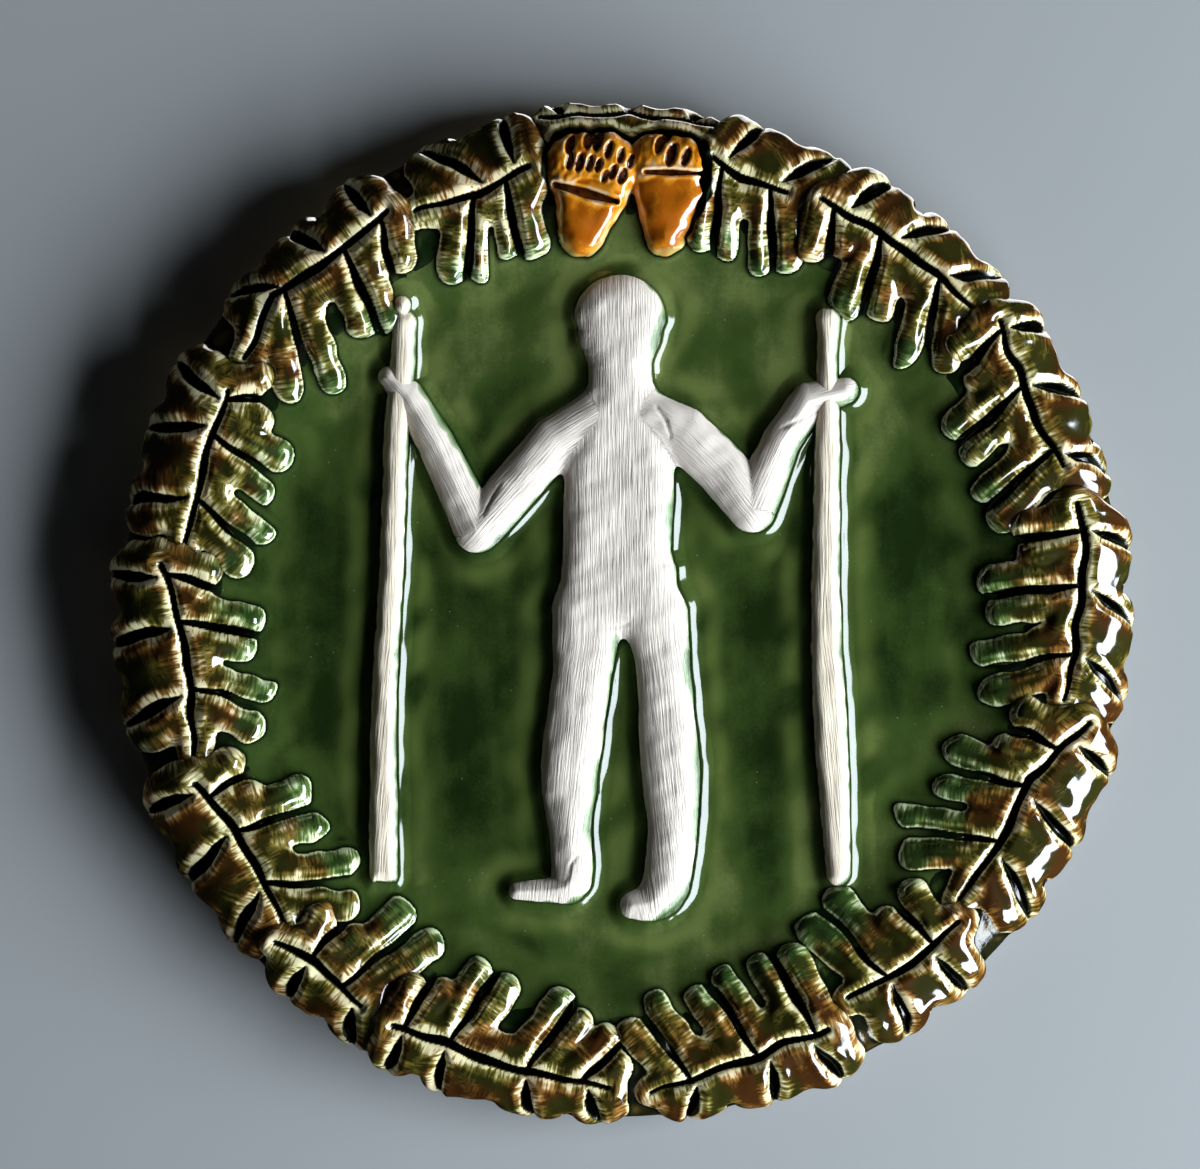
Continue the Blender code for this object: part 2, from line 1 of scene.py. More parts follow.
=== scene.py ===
# %% [markdown]
# # A glazed oak-wreath wall plaque
# The real object is one round of earthenware. Its maker pressed a slab, laid rolled and cut clay on it for a
# standing figure, two staves, fourteen oak leaves and two acorns, brushed the figure with white slip, and
# flooded the rest with green, brown and amber glazes. This file draws the slab's profile, the leaves, the
# figure and the acorns, turns each drawing into a mesh, and glazes them last.

# %% Load the fixed frame
import math
from collections import namedtuple

import bpy
import numpy as np
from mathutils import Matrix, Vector


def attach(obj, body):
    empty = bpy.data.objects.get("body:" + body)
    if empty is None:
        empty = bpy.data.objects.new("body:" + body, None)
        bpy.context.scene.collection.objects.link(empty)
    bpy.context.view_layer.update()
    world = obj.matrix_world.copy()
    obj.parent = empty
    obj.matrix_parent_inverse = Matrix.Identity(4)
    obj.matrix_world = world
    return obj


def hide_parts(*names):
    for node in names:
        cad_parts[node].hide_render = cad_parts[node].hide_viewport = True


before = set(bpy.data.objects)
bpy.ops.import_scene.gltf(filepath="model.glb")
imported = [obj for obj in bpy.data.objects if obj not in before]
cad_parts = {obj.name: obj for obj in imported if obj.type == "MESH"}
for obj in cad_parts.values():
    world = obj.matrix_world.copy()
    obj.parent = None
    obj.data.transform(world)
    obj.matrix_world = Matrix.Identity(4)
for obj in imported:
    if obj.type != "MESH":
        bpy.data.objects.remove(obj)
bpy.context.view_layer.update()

# %% [markdown]
# ## The camera
# The photograph was taken square on to the plaque, which filled most of the frame: 1030 of its 1200 pixels.
# A long lens keeps the rim from bulging. The plaque sat a little right of and below the frame's middle, so
# the camera stands a little left of and above the plaque's middle instead of being shifted.

# %% Camera
PHOTO_W, PLAQUE_W = 1200, 1030      # pixels across the photograph, and across the plaque in it
RIGHT, DOWN = 22.5, 31.5            # pixels from the frame's middle to the plaque's
PIXEL = 200.0 / PLAQUE_W            # millimetres of plaque per pixel of the photograph
AWAY = 1.10                         # metres from the camera to the back of the plaque
FACE_Y = 0.010                      # metres from that back to the field, where the scale holds
SENSOR = 36.0                       # millimetres across the camera's sensor
camera = bpy.data.objects.new("camera", bpy.data.cameras.new("camera"))
bpy.context.scene.collection.objects.link(camera)
camera.data.sensor_width = SENSOR
camera.data.lens = SENSOR * (AWAY - FACE_Y) * 1000 / (PHOTO_W * PIXEL)
camera.location = (-RIGHT * PIXEL / 1000, -AWAY, DOWN * PIXEL / 1000)
camera.rotation_euler = (math.pi / 2, 0, 0)
bpy.context.scene.camera = camera
print("lens in mm:", round(camera.data.lens, 1))

# %% [markdown]
# ## The slab's profile
# Everything on the face is a height above a smooth slab. The slab has a flat field, a gentle rise to the
# wreath's band, a rounded shoulder and a short side wall. A place on it is a point of its developed surface:
# rho is the plain radius as far as the shoulder, and from there a length measured along the curve. A shape
# drawn flat then runs over the edge as rolled clay does. The sizes are the same as those of the solid model,
# and they are in millimetres.

# %% Slab sizes and the curve of its edge
SLAB_R = 97.6
FIELD_H = 10.0
RING_RISE = 2.6
BAND_W = 26.8
SLOPE_OUT, SLOPE_IN = 4.8, 11.2
SHOULDER_W, SHOULDER_H = 9.6, 7.6
BACK_IN = 2.0
LEAN = ((0.08, 0.68), (0.3, 0.32), (0.55, 0.12), (1.0, 0.0))    # the wall, as shares of BACK_IN and SIDE_H
SHOULDER_R = SLAB_R - SHOULDER_W
FIELD_R = SLAB_R - BAND_W
SIDE_H = FIELD_H + RING_RISE - SHOULDER_H
BACK_R = SLAB_R - BACK_IN


# %% The curve itself
def slab_profile():
    """Radius, height and outward normal along the edge's curve: a smooth step, a bend and a leaning wall."""
    rho = np.linspace(0.0, SHOULDER_R, 177)
    t = np.clip((rho - FIELD_R + SLOPE_OUT) / (SLOPE_OUT + SLOPE_IN), 0, 1)
    face = np.stack([rho, FIELD_H + RING_RISE * t * t * (3 - 2 * t)], 1)
    a = np.linspace(0, math.pi / 2, 41)[1:]
    bend = np.stack([SHOULDER_R + SHOULDER_W * np.sin(a), SIDE_H + SHOULDER_H * np.cos(a)], 1)
    wall = np.array([(SLAB_R - BACK_IN * s, SIDE_H * h) for s, h in LEAN])
    points = np.concatenate([face, bend, wall])
    steps = np.linalg.norm(np.diff(points[len(rho) - 1:], axis=0), axis=1)
    rho = np.concatenate([rho, SHOULDER_R + np.cumsum(steps)])
    slope = np.gradient(points, rho, axis=0)
    normal = np.stack([-slope[:, 1], slope[:, 0]], 1)
    return rho, points, normal / np.linalg.norm(normal, axis=1)[:, None], rho[len(face) + len(bend) - 1]


RHO, PROFILE, NORMAL, RHO_WALL = slab_profile()
RHO_END = float(RHO[-1])
print("developed radius in mm:", round(RHO_END, 1))


# %% Places on the developed surface
def radius(p):
    """How far each point lies from the plaque's middle."""
    return np.hypot(p[:, 0], p[:, 1])


def wrap(p, h):
    """Developed points p raised by h, as metres: out along the slab's own normal at each rho."""
    rho = radius(p)
    way = p / np.maximum(rho, 1e-9)[:, None]
    r, y = (np.interp(rho, RHO, PROFILE[:, k]) + h * np.interp(rho, RHO, NORMAL[:, k]) for k in (0, 1))
    return np.stack([way[:, 0] * r, -y, way[:, 1] * r], 1) / 1000


def clock(angle, share):
    """A point at a clock angle in degrees, and a share of the way from the field's edge to the side wall."""
    a, rho = math.radians(angle), FIELD_R + share * (RHO_WALL - FIELD_R)
    return np.array([rho * math.sin(a), rho * math.cos(a)])


edge = np.array([[0.0, RHO_WALL]])
print("the wall starts at", np.round(1000 * wrap(edge, np.zeros(1))[0], 1).tolist(), "mm, at 12 o'clock")

# %% [markdown]
# ## Drawing with distances
# Rolled and cut clay has round ends and soft joins. Both come free when a shape is written as a distance: how
# far each point lies outside the outline, negative inside it. A finger is the distance to a line less a width
# that changes along it, and two fingers join with a smooth minimum, which fills the corner like a thumb.

# %% The distance to a chain of bars
FAR = 30.0      # millimetres: the distance of whatever isn't near


def limb(p, points):
    """Distance outside a chain of tapering round-ended bars, and the places along and across it, in mm.

    The chain's points are (x, z, half width)."""
    points = np.array(points, float)
    best, along, side = np.full(len(p), 1e9), np.zeros(len(p)), np.zeros(len(p))
    done = 0.0
    for a, b in zip(points, points[1:]):
        ab = b[:2] - a[:2]
        length = max(float(np.hypot(*ab)), 1e-9)
        t = np.clip(((p - a[:2]) @ ab) / length ** 2, 0, 1)
        off = p - a[:2] - t[:, None] * ab
        d = radius(off) - (a[2] + (b[2] - a[2]) * t)
        nearer = d < best
        best = np.where(nearer, d, best)
        along = np.where(nearer, done + (p - a[:2]) @ ab / length, along)
        side = np.where(nearer, ((p[:, 0] - a[0]) * ab[1] - (p[:, 1] - a[1]) * ab[0]) / length, side)
        done += length
    return best, along, side


trial = limb(np.array([[5.0, 4.0]]), [(0, 0, 1), (10, 0, 1)])[0]
print("4 mm from the middle line of a bar 2 mm wide is", round(float(trial[0]), 2), "mm outside it")


# %% Soft joins and soft steps
def blend(a, b, k):
    """Smooth minimum of two distances: where they differ by less than k the corner is filled."""
    h = np.clip(0.5 + 0.5 * (b - a) / k, 0, 1)
    return b + (a - b) * h - k * h * (1 - h)


def soft_least(rows, k):
    """The least of several distances, with its creases rounded over about k."""
    return -np.log(np.exp(-np.clip(rows, -2, 12) / k).sum(axis=0)) * k


def ease(x, low, high):
    """0 at low, 1 at high, and the smooth cubic step between. Low may be the greater of the two."""
    t = np.clip((x - low) / (high - low), 0, 1)
    return t * t * (3 - 2 * t)


def round_edge(d, width):
    """A quarter circle: 0 at the outline, 1 from width inwards."""
    s = 1 - np.clip(d / width, 0, 1)
    return np.sqrt(np.maximum(1 - s * s, 0))


def hump(x, middle, width):
    """1 where x is at the middle, fading on both sides of it."""
    return np.exp(-((x - middle) / width) ** 2)


print("half way up a step is", ease(0.5, 0, 1))
print("a 1 mm join of two touching bars fills", -blend(0.0, 0.0, 1.0), "mm")


# %% Hand-made unevenness
def lumps(p, size, seed, waves=12):
    """Unevenness of about one size: a sum of sine waves in seeded directions, of unit spread."""
    rng = np.random.default_rng(seed)
    turn, push = rng.uniform(0, 2 * math.pi, waves), rng.uniform(0, 2 * math.pi, waves)
    rate = 2 * math.pi / size * rng.uniform(0.65, 1.5, waves)
    ways = np.stack([np.cos(turn), np.sin(turn)]) * rate
    return np.sin(p @ ways + push).sum(axis=1) / math.sqrt(waves / 2)


def patches(p, size, seed, sharp):
    """Soft-edged patches of 0 and 1: the same waves pressed flat by a hyperbolic tangent."""
    return 0.5 + 0.5 * np.tanh(sharp * lumps(p, size, seed))


def along_line(points, s):
    """The point a share s of the way along a row of points."""
    at = np.concatenate([[0], np.cumsum(np.linalg.norm(np.diff(points, axis=0), axis=1))])
    return np.array([np.interp(s * at[-1], at, points[:, k]) for k in (0, 1)])


sample = FIELD_R * np.random.default_rng(1).uniform(-1, 1, (1000, 2))
print("the waves spread by", round(float(lumps(sample, 10.0, 1).std()), 2), "about their middle")

# %% [markdown]
# ## The wreath's drawing
# Seven leaves run down each side from the acorns, each laid over the tip of the one before. The table gives
# each leaf's midrib and, for each vein, how far along the midrib it starts and where it ends, as clock angles
# and shares of the band. The rest follows from rules: a vein of the inner side runs between two fingers, and
# on the outer side it crosses one broad lobe that is pressed over the plaque's edge.

# %% Midribs and veins
LEAVES = {
    "crown": ([(-9.5, 0.86), (0.5, 0.89), (10.5, 0.86)],
          [],
          [(0.15, -8.0, 0.99), (0.5, 1.0, 1.0), (0.85, 9.5, 0.99)]),
    "l1": ([(-11.7, 0.58), (-18.6, 0.51), (-27.1, 0.55)],
          [(0.24, -15.6, 0.07), (0.5, -24.9, 0.05)],
          [(0.12, -13.6, 0.97), (0.34, -24.0, 0.95)]),
    "l2": ([(-30.2, 0.63), (-41.0, 0.61), (-47.8, 0.67), (-55.4, 0.57)],
          [(0.05, -33.9, 0.3), (0.27, -40.6, 0.06), (0.62, -54.2, 0.1)],
          [(0.08, -32.8, 0.95), (0.33, -41.5, 0.99), (0.6, -51.0, 0.97)]),
    "l3": ([(-60.3, 0.56), (-68.3, 0.51), (-80.2, 0.49)],
          [(0.05, -58.6, 0.3), (0.3, -68.6, 0.03), (0.72, -80.2, 0.02)],
          [(0.08, -60.5, 0.97), (0.25, -68.7, 0.99), (0.7, -77.0, 0.99)]),
    "l4": ([(-83.6, 0.61), (-91.3, 0.48), (-98.0, 0.44), (-108.1, 0.53)],
          [(0.05, -86.0, 0.28), (0.3, -93.0, 0.01), (0.64, -104.8, 0.02)],
          [(0.06, -85.4, 0.95), (0.32, -93.4, 0.99), (0.66, -102.6, 0.99)]),
    "l5": ([(-111.3, 0.58), (-118.6, 0.48), (-124.8, 0.5), (-132.6, 0.58)],
          [(0.1, -113.0, 0.24), (0.36, -122.0, -0.04), (0.72, -135.2, 0.06)],
          [(0.05, -112.4, 0.94), (0.36, -121.6, 0.99), (0.72, -130.4, 0.99)]),
    "l6": ([(-133.2, 0.68), (-138.5, 0.61), (-146.0, 0.64)],
          [(0.35, -137.6, 0.27), (0.75, -147.0, -0.01)],
          [(0.35, -138.8, 0.97), (0.9, -148.0, 0.99)]),
    "l7": ([(-150.8, 0.64), (-158.0, 0.6), (-165.0, 0.63), (-178.2, 0.66)],
          [(0.05, -152.4, 0.28), (0.26, -160.6, 0.05), (0.62, -173.4, 0.14), (0.88, -179.8, 0.4)],
          [(0.05, -152.6, 0.95), (0.24, -159.0, 0.97), (0.62, -170.1, 0.99), (0.9, -177.4, 0.97)]),
    "r1": ([(11.1, 0.63), (15.4, 0.55), (21.1, 0.56)],
          [(0.14, 14.0, 0.05), (0.8, 23.6, 0.06)],
          [(0.17, 16.4, 0.99), (0.85, 25.1, 0.97)]),
    "r2": ([(25.6, 0.6), (34.4, 0.6), (42.4, 0.61), (48.3, 0.63)],
          [(0.08, 29.6, 0.3), (0.38, 38.6, 0.1), (0.78, 50.4, 0.14)],
          [(0.14, 32.0, 0.95), (0.44, 40.4, 0.99), (0.77, 48.5, 0.99)]),
    "r3": ([(52.0, 0.69), (60.6, 0.61), (64.4, 0.58), (71.0, 0.62)],
          [(0.06, 54.0, 0.32), (0.42, 63.2, 0.06), (0.88, 73.6, 0.08)],
          [(0.06, 56.0, 0.97), (0.42, 64.8, 0.99), (0.89, 73.6, 0.99)]),
    "r4": ([(76.2, 0.64), (82.2, 0.63), (92.0, 0.56), (100.8, 0.53)],
          [(0.14, 79.1, 0.23), (0.41, 87.0, -0.02), (0.76, 99.2, -0.04)],
          [(0.12, 82.6, 0.97), (0.4, 91.3, 0.99), (0.74, 100.0, 0.99)]),
    "r5": ([(103.0, 0.68), (112.0, 0.46), (121.5, 0.47), (130.3, 0.47)],
          [(0.16, 106.0, 0.2), (0.4, 115.3, -0.07), (0.66, 128.0, -0.09)],
          [(0.1, 108.4, 0.97), (0.42, 117.5, 0.99), (0.7, 127.0, 0.97)]),
    "r6": ([(132.4, 0.55), (140.0, 0.54), (149.4, 0.5)],
          [(0.25, 136.4, 0.16), (0.68, 146.0, -0.1)],
          [(0.3, 137.4, 0.97), (0.66, 145.7, 0.97)]),
    "r7": ([(153.6, 0.59), (163.0, 0.59), (176.5, 0.7)],
          [(0.06, 156.4, 0.03), (0.4, 167.0, 0.07), (0.78, 177.6, 0.18)],
          [(0.1, 154.4, 0.97), (0.34, 162.4, 0.99), (0.74, 172.4, 0.99)]),
}
LEAF_T, LEAF_EDGE, LEAF_LIFT, LEAF_BODY, FINGER = 2.4, 2.9, 0.9, 6.2, 3.1
GROOVE_D, GROOVE_SLOPE, BANK, DIG = 2.2, 1.7, 1.5, 0.6
# The veins' cuts, as shares of the vein's length and half widths
INNER_CUT = [(0.04, 0.45), (0.4, 0.8), (0.7, 0.85), (0.95, 0.8), (1.12, 0.75)]
OUTER_CUT = [(0.14, 0.15), (0.34, 0.95), (0.6, 1.15), (0.82, 0.8), (0.97, 0.15)]
INNER_SOFT, OUTER_SOFT, BLADE_SOFT, NICK_SOFT = 1.3, 2.8, 1.5, 1.2
LEVEL = 0.15        # inner lobes whose ends differ by a smaller share have a nick between them
NUMBERED = 7.0      # how far apart the grain of neighbouring bars lies, so that their streaks differ
Vein = namedtuple("Vein", "along end root tip way reach near")
print(len(LEAVES), "leaves,", sum(len(a) + len(b) for _, a, b in LEAVES.values()), "side veins")


# %% The nearest of several bars
def nearest_bar(p, bars):
    """Distance outside the nearest of several bars, and the place across and along it, with its number."""
    best, out = np.full(len(p), 1e9), np.zeros((len(p), 3))
    for i, bar in enumerate(bars):
        d, along, side = limb(p, bar)
        nearer = d < best
        best = np.where(nearer, d, best)
        out = np.where(nearer[:, None], np.stack([side, along, np.full(len(p), NUMBERED * i)], 1), out)
    return best, out


def tapered(points, first, middle, last):
    """A chain of bars through points, with its half widths at the ends and between."""
    return [(*q, w) for q, w in zip(points, [first, *[middle] * (len(points) - 2), last])]


# %% One oak leaf
class Leaf:
    """A blade along the midrib, inner lobes of two fingers with a vein between, and a nicked outer edge."""

    def __init__(self, name, seed):
        rib, inner, outer = LEAVES[name]
        self.seed = seed
        self.rib = np.array([clock(*q) for q in rib])
        self.middle = self.rib.mean(axis=0)
        self.reach = float(np.ptp(self.rib, axis=0).max()) / 2 + BAND_W + 3
        wide = LEAF_BODY if inner else 0.6 * LEAF_BODY
        self.body = tapered(self.rib, 0.66 * wide, wide, 0.55 * wide)
        self.fingers, self.softness, self.nicks, self.blade = [], [], [], None
        self.cuts = [tapered(self.rib, 0.5, 0.78, 0.4)]
        self.add_inner(self.veins(inner))
        self.add_outer(self.veins(outer), bool(inner))

    def veins(self, side):
        """The veins of one side, each with its direction, its length and how near the next tip is."""
        tips = [clock(angle, end) for _, angle, end in side]
        found = []
        for i, (along, _, end) in enumerate(side):
            root, tip = along_line(self.rib, along), tips[i]
            gaps = [float(np.hypot(*(tip - other))) for j, other in enumerate(tips) if j != i]
            reach = float(np.hypot(*(tip - root)))
            near = min(gaps or [4.5 * FINGER])
            found.append(Vein(along, end, root, tip, (tip - root) / reach, reach, near))
        return found

    def add_inner(self, veins):
        """Two fingers and a cut for each vein, and nicks between lobes that end level."""
        for i, vein in enumerate(veins):
            across = np.array([-vein.way[1], vein.way[0]])
            half = min(2.5 * FINGER, 0.49 * vein.near)
            r = min(1.05 * FINGER, half * 0.57)
            for sign in (1, -1):
                wave = math.sin(7 * vein.along + 3 * i + 2 * sign + self.seed)
                end = vein.root + vein.way * (vein.reach - 2.6 + 0.8 * wave) + across * sign * (half - r)
                root = vein.root + across * sign * min(0.8 * FINGER, half - r)
                end_r = r * (1 + 0.09 * math.sin(5 * self.seed + i + sign))
                self.fingers.append([(*root, 0.95 * FINGER), (*end, end_r)])
                self.softness.append(INNER_SOFT)
            self.add_cut(vein, INNER_CUT)
        for a, b in zip(veins, veins[1:]):
            if abs(a.end - b.end) < LEVEL:
                root = (a.root + b.root) / 2
                way = (a.tip + b.tip) / 2 - root
                self.nicks.append([(*(root + 1.3 * way), 1.2), (*(root + 0.54 * way), 0.75)])

    def add_outer(self, veins, nicked):
        """A broad lobe and a cut for each vein. A nicked side also has nicks, and a blade under its lobes."""
        for vein in veins:
            r = min(2.2 * FINGER, 0.52 * vein.near)
            self.fingers.append([(*vein.root, r), (*(vein.root + vein.way * (vein.reach + 2.0 - r)), r)])
            self.softness.append(OUTER_SOFT)
            self.add_cut(vein, OUTER_CUT)
        if nicked:
            self.blade = [(*(v.root + v.way * v.reach * 0.55), 0.42 * v.reach) for v in veins]
            for k, (a, b) in enumerate(zip(veins, veins[1:])):
                mid = (a.tip + b.tip) / 2
                out = mid / np.hypot(*mid)
                deep = 1.0 + 1.3 * math.sin(3 * k + self.seed)
                self.nicks.append([(*(mid + out * 5), 1.3), (*(mid - out * deep), 0.75)])

    def add_cut(self, vein, profile):
        """A cut along one vein, as wide at each share of it as its profile says."""
        self.cuts.append([(*(vein.root + vein.way * vein.reach * t), w) for t, w in profile])

    def outside(self, p):
        """The blended distances of the body, the blade, the fingers and lobes, less the nicks."""
        d = limb(p, self.body)[0]
        if self.blade:
            d = blend(d, limb(p, self.blade)[0], BLADE_SOFT)
        for finger, soft in zip(self.fingers, self.softness):
            d = blend(d, limb(p, finger)[0], soft)
        for nick in self.nicks:
            d = -blend(-d, limb(p, nick)[0], NICK_SOFT)
        return d + 0.14 * lumps(p, 6.0, self.seed)

    def cut_distances(self, p):
        """Distance outside the midrib's cut and each lens-shaped vein, all wavering as a hand does."""
        q = p + 0.2 * np.stack([lumps(p, 11.0, self.seed + 50), lumps(p, 11.0, self.seed + 70)], 1)
        return np.array([limb(q, cut)[0] for cut in self.cuts])

    def groove(self, p):
        """Distance outside the nearest cut."""
        return self.cut_distances(p).min(axis=0)

    def relief(self, p):
        """Height: bevels at the edge and beside the cuts, dished panels, and the cuts themselves."""
        d, cuts = -self.outside(p), self.cut_distances(p)
        cut = cuts.min(axis=0)
        chord = self.rib[-1] - self.rib[0]
        along = (p - self.rib[0]) @ chord / (chord @ chord)
        thick = LEAF_T + LEAF_LIFT * ease(along, 0.5, -0.1) - 0.5 * along
        thick = thick + 0.16 * lumps(p, 12.0, self.seed + 7) + 0.03 * lumps(p, 4.5, self.seed + 9)
        thick = thick - 0.34 * ease(d, 1.0, 3.8) * ease(soft_least(cuts, 0.9), 0.5, 3.2)
        far = np.clip(1 - d / LEAF_EDGE, 0, 1)
        h = thick * (1 - 0.8 * far ** 1.6)
        bank = (0.82 + 0.14 * lumps(p, 8.0, self.seed + 13)) * np.clip(1 - cut / BANK, 0, 1) ** 1.2
        h = np.maximum(h - bank * ease(d, 0.0, 1.2), 0.12)
        carved = np.clip(GROOVE_SLOPE * (0.12 - cut), 0, GROOVE_D)
        return np.where(d > 0, np.maximum(h - carved, 0.02 - DIG * ease(d, 0.1, 1.3)), 0.0)

    def grain(self, p):
        """Place across and along the nearest cut or finger, for the streaks that tools and glaze leave."""
        by_cut, cut_place = nearest_bar(p, self.cuts)
        _, finger_place = nearest_bar(p, [self.body, *self.fingers])
        finger_place = finger_place + (0, 0, 13 * NUMBERED)
        return np.where((by_cut < -self.outside(p))[:, None], cut_place, finger_place) + (0, 0, self.seed)


leaves = {name: Leaf(name, 3 * i + 1) for i, name in enumerate(LEAVES)}
print("each leaf has", sorted({len(leaf.fingers) for leaf in leaves.values()}), "fingers and lobes")

# %% [markdown]
# ## The figure and the staves
# The figure is a flat doll of rolled clay without a face or dress, like those cut in chalk hillsides. Each
# limb is a tapering bar through a few measured places, and the bars are blended where the clay was smoothed
# together. The places are in hundredths of the figure's height, so it always stands between its two gaps.

# %% Limbs and staves
FOOT_GAP, HEAD_GAP = 11.1, 4.1
FIGURE_H = 2 * FIELD_R - FOOT_GAP - HEAD_GAP
FOOT_Z = FOOT_GAP - FIELD_R
UNIT = FIGURE_H / 100
LIMBS = {
    "head": [(-0.4, 92.6, 7.4), (-0.5, 87.7, 5.6), (-0.3, 82.8, 4.7)],
    "trunk": [(-0.3, 82.8, 4.7), (-0.4, 76.5, 6.6), (-0.5, 69.4, 8.7), (-0.9, 56.7, 8.6), (-0.6, 53.4, 9.3)],
    "left_leg": [(-5.4, 47.5, 5.9), (-6.25, 37.6, 4.85), (-8.15, 24.3, 4.85), (-8.1, 14.0, 3.6),
                 (-7.8, 6.9, 3.5), (-10.3, 5.3, 2.4), (-16.2, 5.0, 1.6)],
    "right_leg": [(5.1, 47.5, 5.3), (6.4, 37.6, 4.5), (7.3, 24.3, 4.9), (7.7, 14.0, 4.1),
                  (6.6, 6.1, 4.0), (4.4, 3.4, 3.3), (1.7, 2.9, 2.5)],
    "left_arm": [(-4.7, 77.8, 4.0), (-10.3, 74.3, 4.1), (-15.8, 67.8, 4.1), (-22.3, 60.5, 3.9),
                 (-28.6, 73.8, 3.2), (-32.9, 80.9, 2.9), (-35.8, 83.9, 2.0)],
    "right_arm": [(4.0, 78.1, 4.0), (9.5, 75.2, 4.4), (15.3, 69.7, 4.4), (19.9, 63.8, 4.1),
                  (24.3, 74.0, 3.3), (28.5, 80.3, 3.1), (34.2, 81.9, 2.4)],
}
ARMS_FROM = 4       # the arms come last in the table
STAVES = {
    "left": [(-33.5, 92.3, 2.1), (-34.0, 82.8, 2.2), (-34.8, 74.9, 2.1), (-35.4, 55.9, 2.1),
             (-36.6, 34.6, 2.2), (-36.7, 7.7, 2.5)],
    "right": [(31.6, 92.8, 2.2), (31.4, 87.2, 1.8), (31.5, 76.5, 2.1), (31.2, 47.2, 2.5),
              (32.1, 27.5, 2.8), (33.1, 7.7, 2.1)],
}
STAFF_ENDS = {"left": (6.2, 94.2), "right": (4.7, 94.9)}
KNOB = [(-33.9, 95.0, 1.5), (-33.9, 95.2, 1.5)]
CREASES = [     # the places are in hundredths, the half widths in millimetres
    [(24.6, 76.0, 0.2), (27.2, 77.4, 0.35), (30.0, 78.6, 0.1)],
    [(5.2, 79.2, 0.2), (6.6, 77.2, 0.3), (7.4, 74.6, 0.1)],
    [(-2.2, 45.4, 0.1), (0.9, 46.0, 0.12)],
    [(-21.4, 62.6, 0.1), (-20.2, 65.0, 0.25), (-18.6, 67.6, 0.1)],
    [(-8.4, 6.8, 0.1), (-7.9, 9.2, 0.3), (-6.9, 10.6, 0.1)],
]
FIGURE_T, FIGURE_EDGE, STAFF_T, STAFF_EDGE = 3.2, 3.4, 2.6, 1.5
LIMB_SOFT, CREASE_D, ROOM = 2.4, 0.35, 13.0
print("the figure is", round(FIGURE_H, 1), "mm tall, of", sum(map(len, LIMBS.values())), "measured places")


# %% From measured places to bars
def flowing(points, parts=3):
    """A Catmull-Rom curve: a cubic between each two places, aimed by the places before and after."""
    q = np.array(points, float)
    q = np.vstack([2 * q[0] - q[1], q, 2 * q[-1] - q[-2]])
    rows = []
    for a, b, c, d in zip(q, q[1:], q[2:], q[3:]):
        for t in np.linspace(0, 1, parts, endpoint=False):
            rows.append(b + 0.5 * t * (c - a + t * (2 * a - 5 * b + 4 * c - d + t * (3 * b - a - 3 * c + d))))
    return [*rows, q[-2]]


def figure_bar(points, width_unit=UNIT):
    """Figure units to millimetres of the face."""
    return [(x * UNIT, FOOT_Z + z * UNIT, w * width_unit) for x, z, w in points]


# %% One doll
class Doll:
    """Blended bars with a rounded edge: the figure, or one staff with its ends cut square."""

    def __init__(self, bars, thick, edge, seed, ends=None, knob=None, creases=()):
        self.bars, self.thick, self.edge, self.seed = bars, thick, edge, seed
        self.ends, self.knob, self.creases = ends, knob, creases
        spots = np.array([q[:2] for bar in bars for q in bar])
        self.low, self.high = spots.min(axis=0) - ROOM, spots.max(axis=0) + ROOM
        self.middle = (self.low + self.high) / 2
        self.reach = float((self.high - self.low).max()) / 2

    def outside(self, p):
        """The blended distances of the bars, cut off square at a staff's ends, with its knob added."""
        d = limb(p, self.bars[0])[0]
        for bar in self.bars[1:]:
            d = blend(d, limb(p, bar)[0], LIMB_SOFT)
        if self.ends:
            below = self.ends[0] - p[:, 1] - 0.08 * (p[:, 0] % 3)
            d = np.maximum(d, np.maximum(below, p[:, 1] - self.ends[1]))
        if self.knob:
            d = np.minimum(d, limb(p, self.knob)[0])
        return d + 0.05 * lumps(p, 10.0, self.seed)

    def relief(self, p):
        """Height: thickness times the rounded edge, slightly uneven, less a few tool creases."""
        d = -self.outside(p)
        dome = 1 - np.clip(1 - d / (1.5 * self.edge), 0, 1) ** 1.8
        uneven = 0.1 * lumps(p, 14.0, self.seed + 3) + 0.04 * lumps(p, 5.0, self.seed + 4)
        h = self.thick * (0.35 * round_edge(d, 0.5 * self.edge) + 0.65 * dome) + uneven * ease(d, 0, 2.5)
        for crease in self.creases:
            h = h - CREASE_D * ease(-limb(p, crease)[0], -0.25, 0.25) * ease(d, 0.3, 1.2)
        return np.where(d > 0, h, 0.0)

    def grain(self, p):
        """Place across and along the strokes of the slip brush: upright on the body, and along each arm."""
        lean = 0.1 * np.tanh(p[:, 0] / 4.0) * ease(-p[:, 1], 0, 12)
        place = np.stack([p[:, 0] + lean * p[:, 1], p[:, 1], np.zeros(len(p))], 1)
        body = np.min([limb(p, bar)[0] for bar in self.bars[:ARMS_FROM]], axis=0)
        for number, bar in enumerate(self.bars[ARMS_FROM:]):
            d, along, side = limb(p, bar)
            own = (d < body)[:, None]
            place = np.where(own, np.stack([side, along, np.full(len(p), 40.0 + 9 * number)], 1), place)
        return place + (0, 0, self.seed)


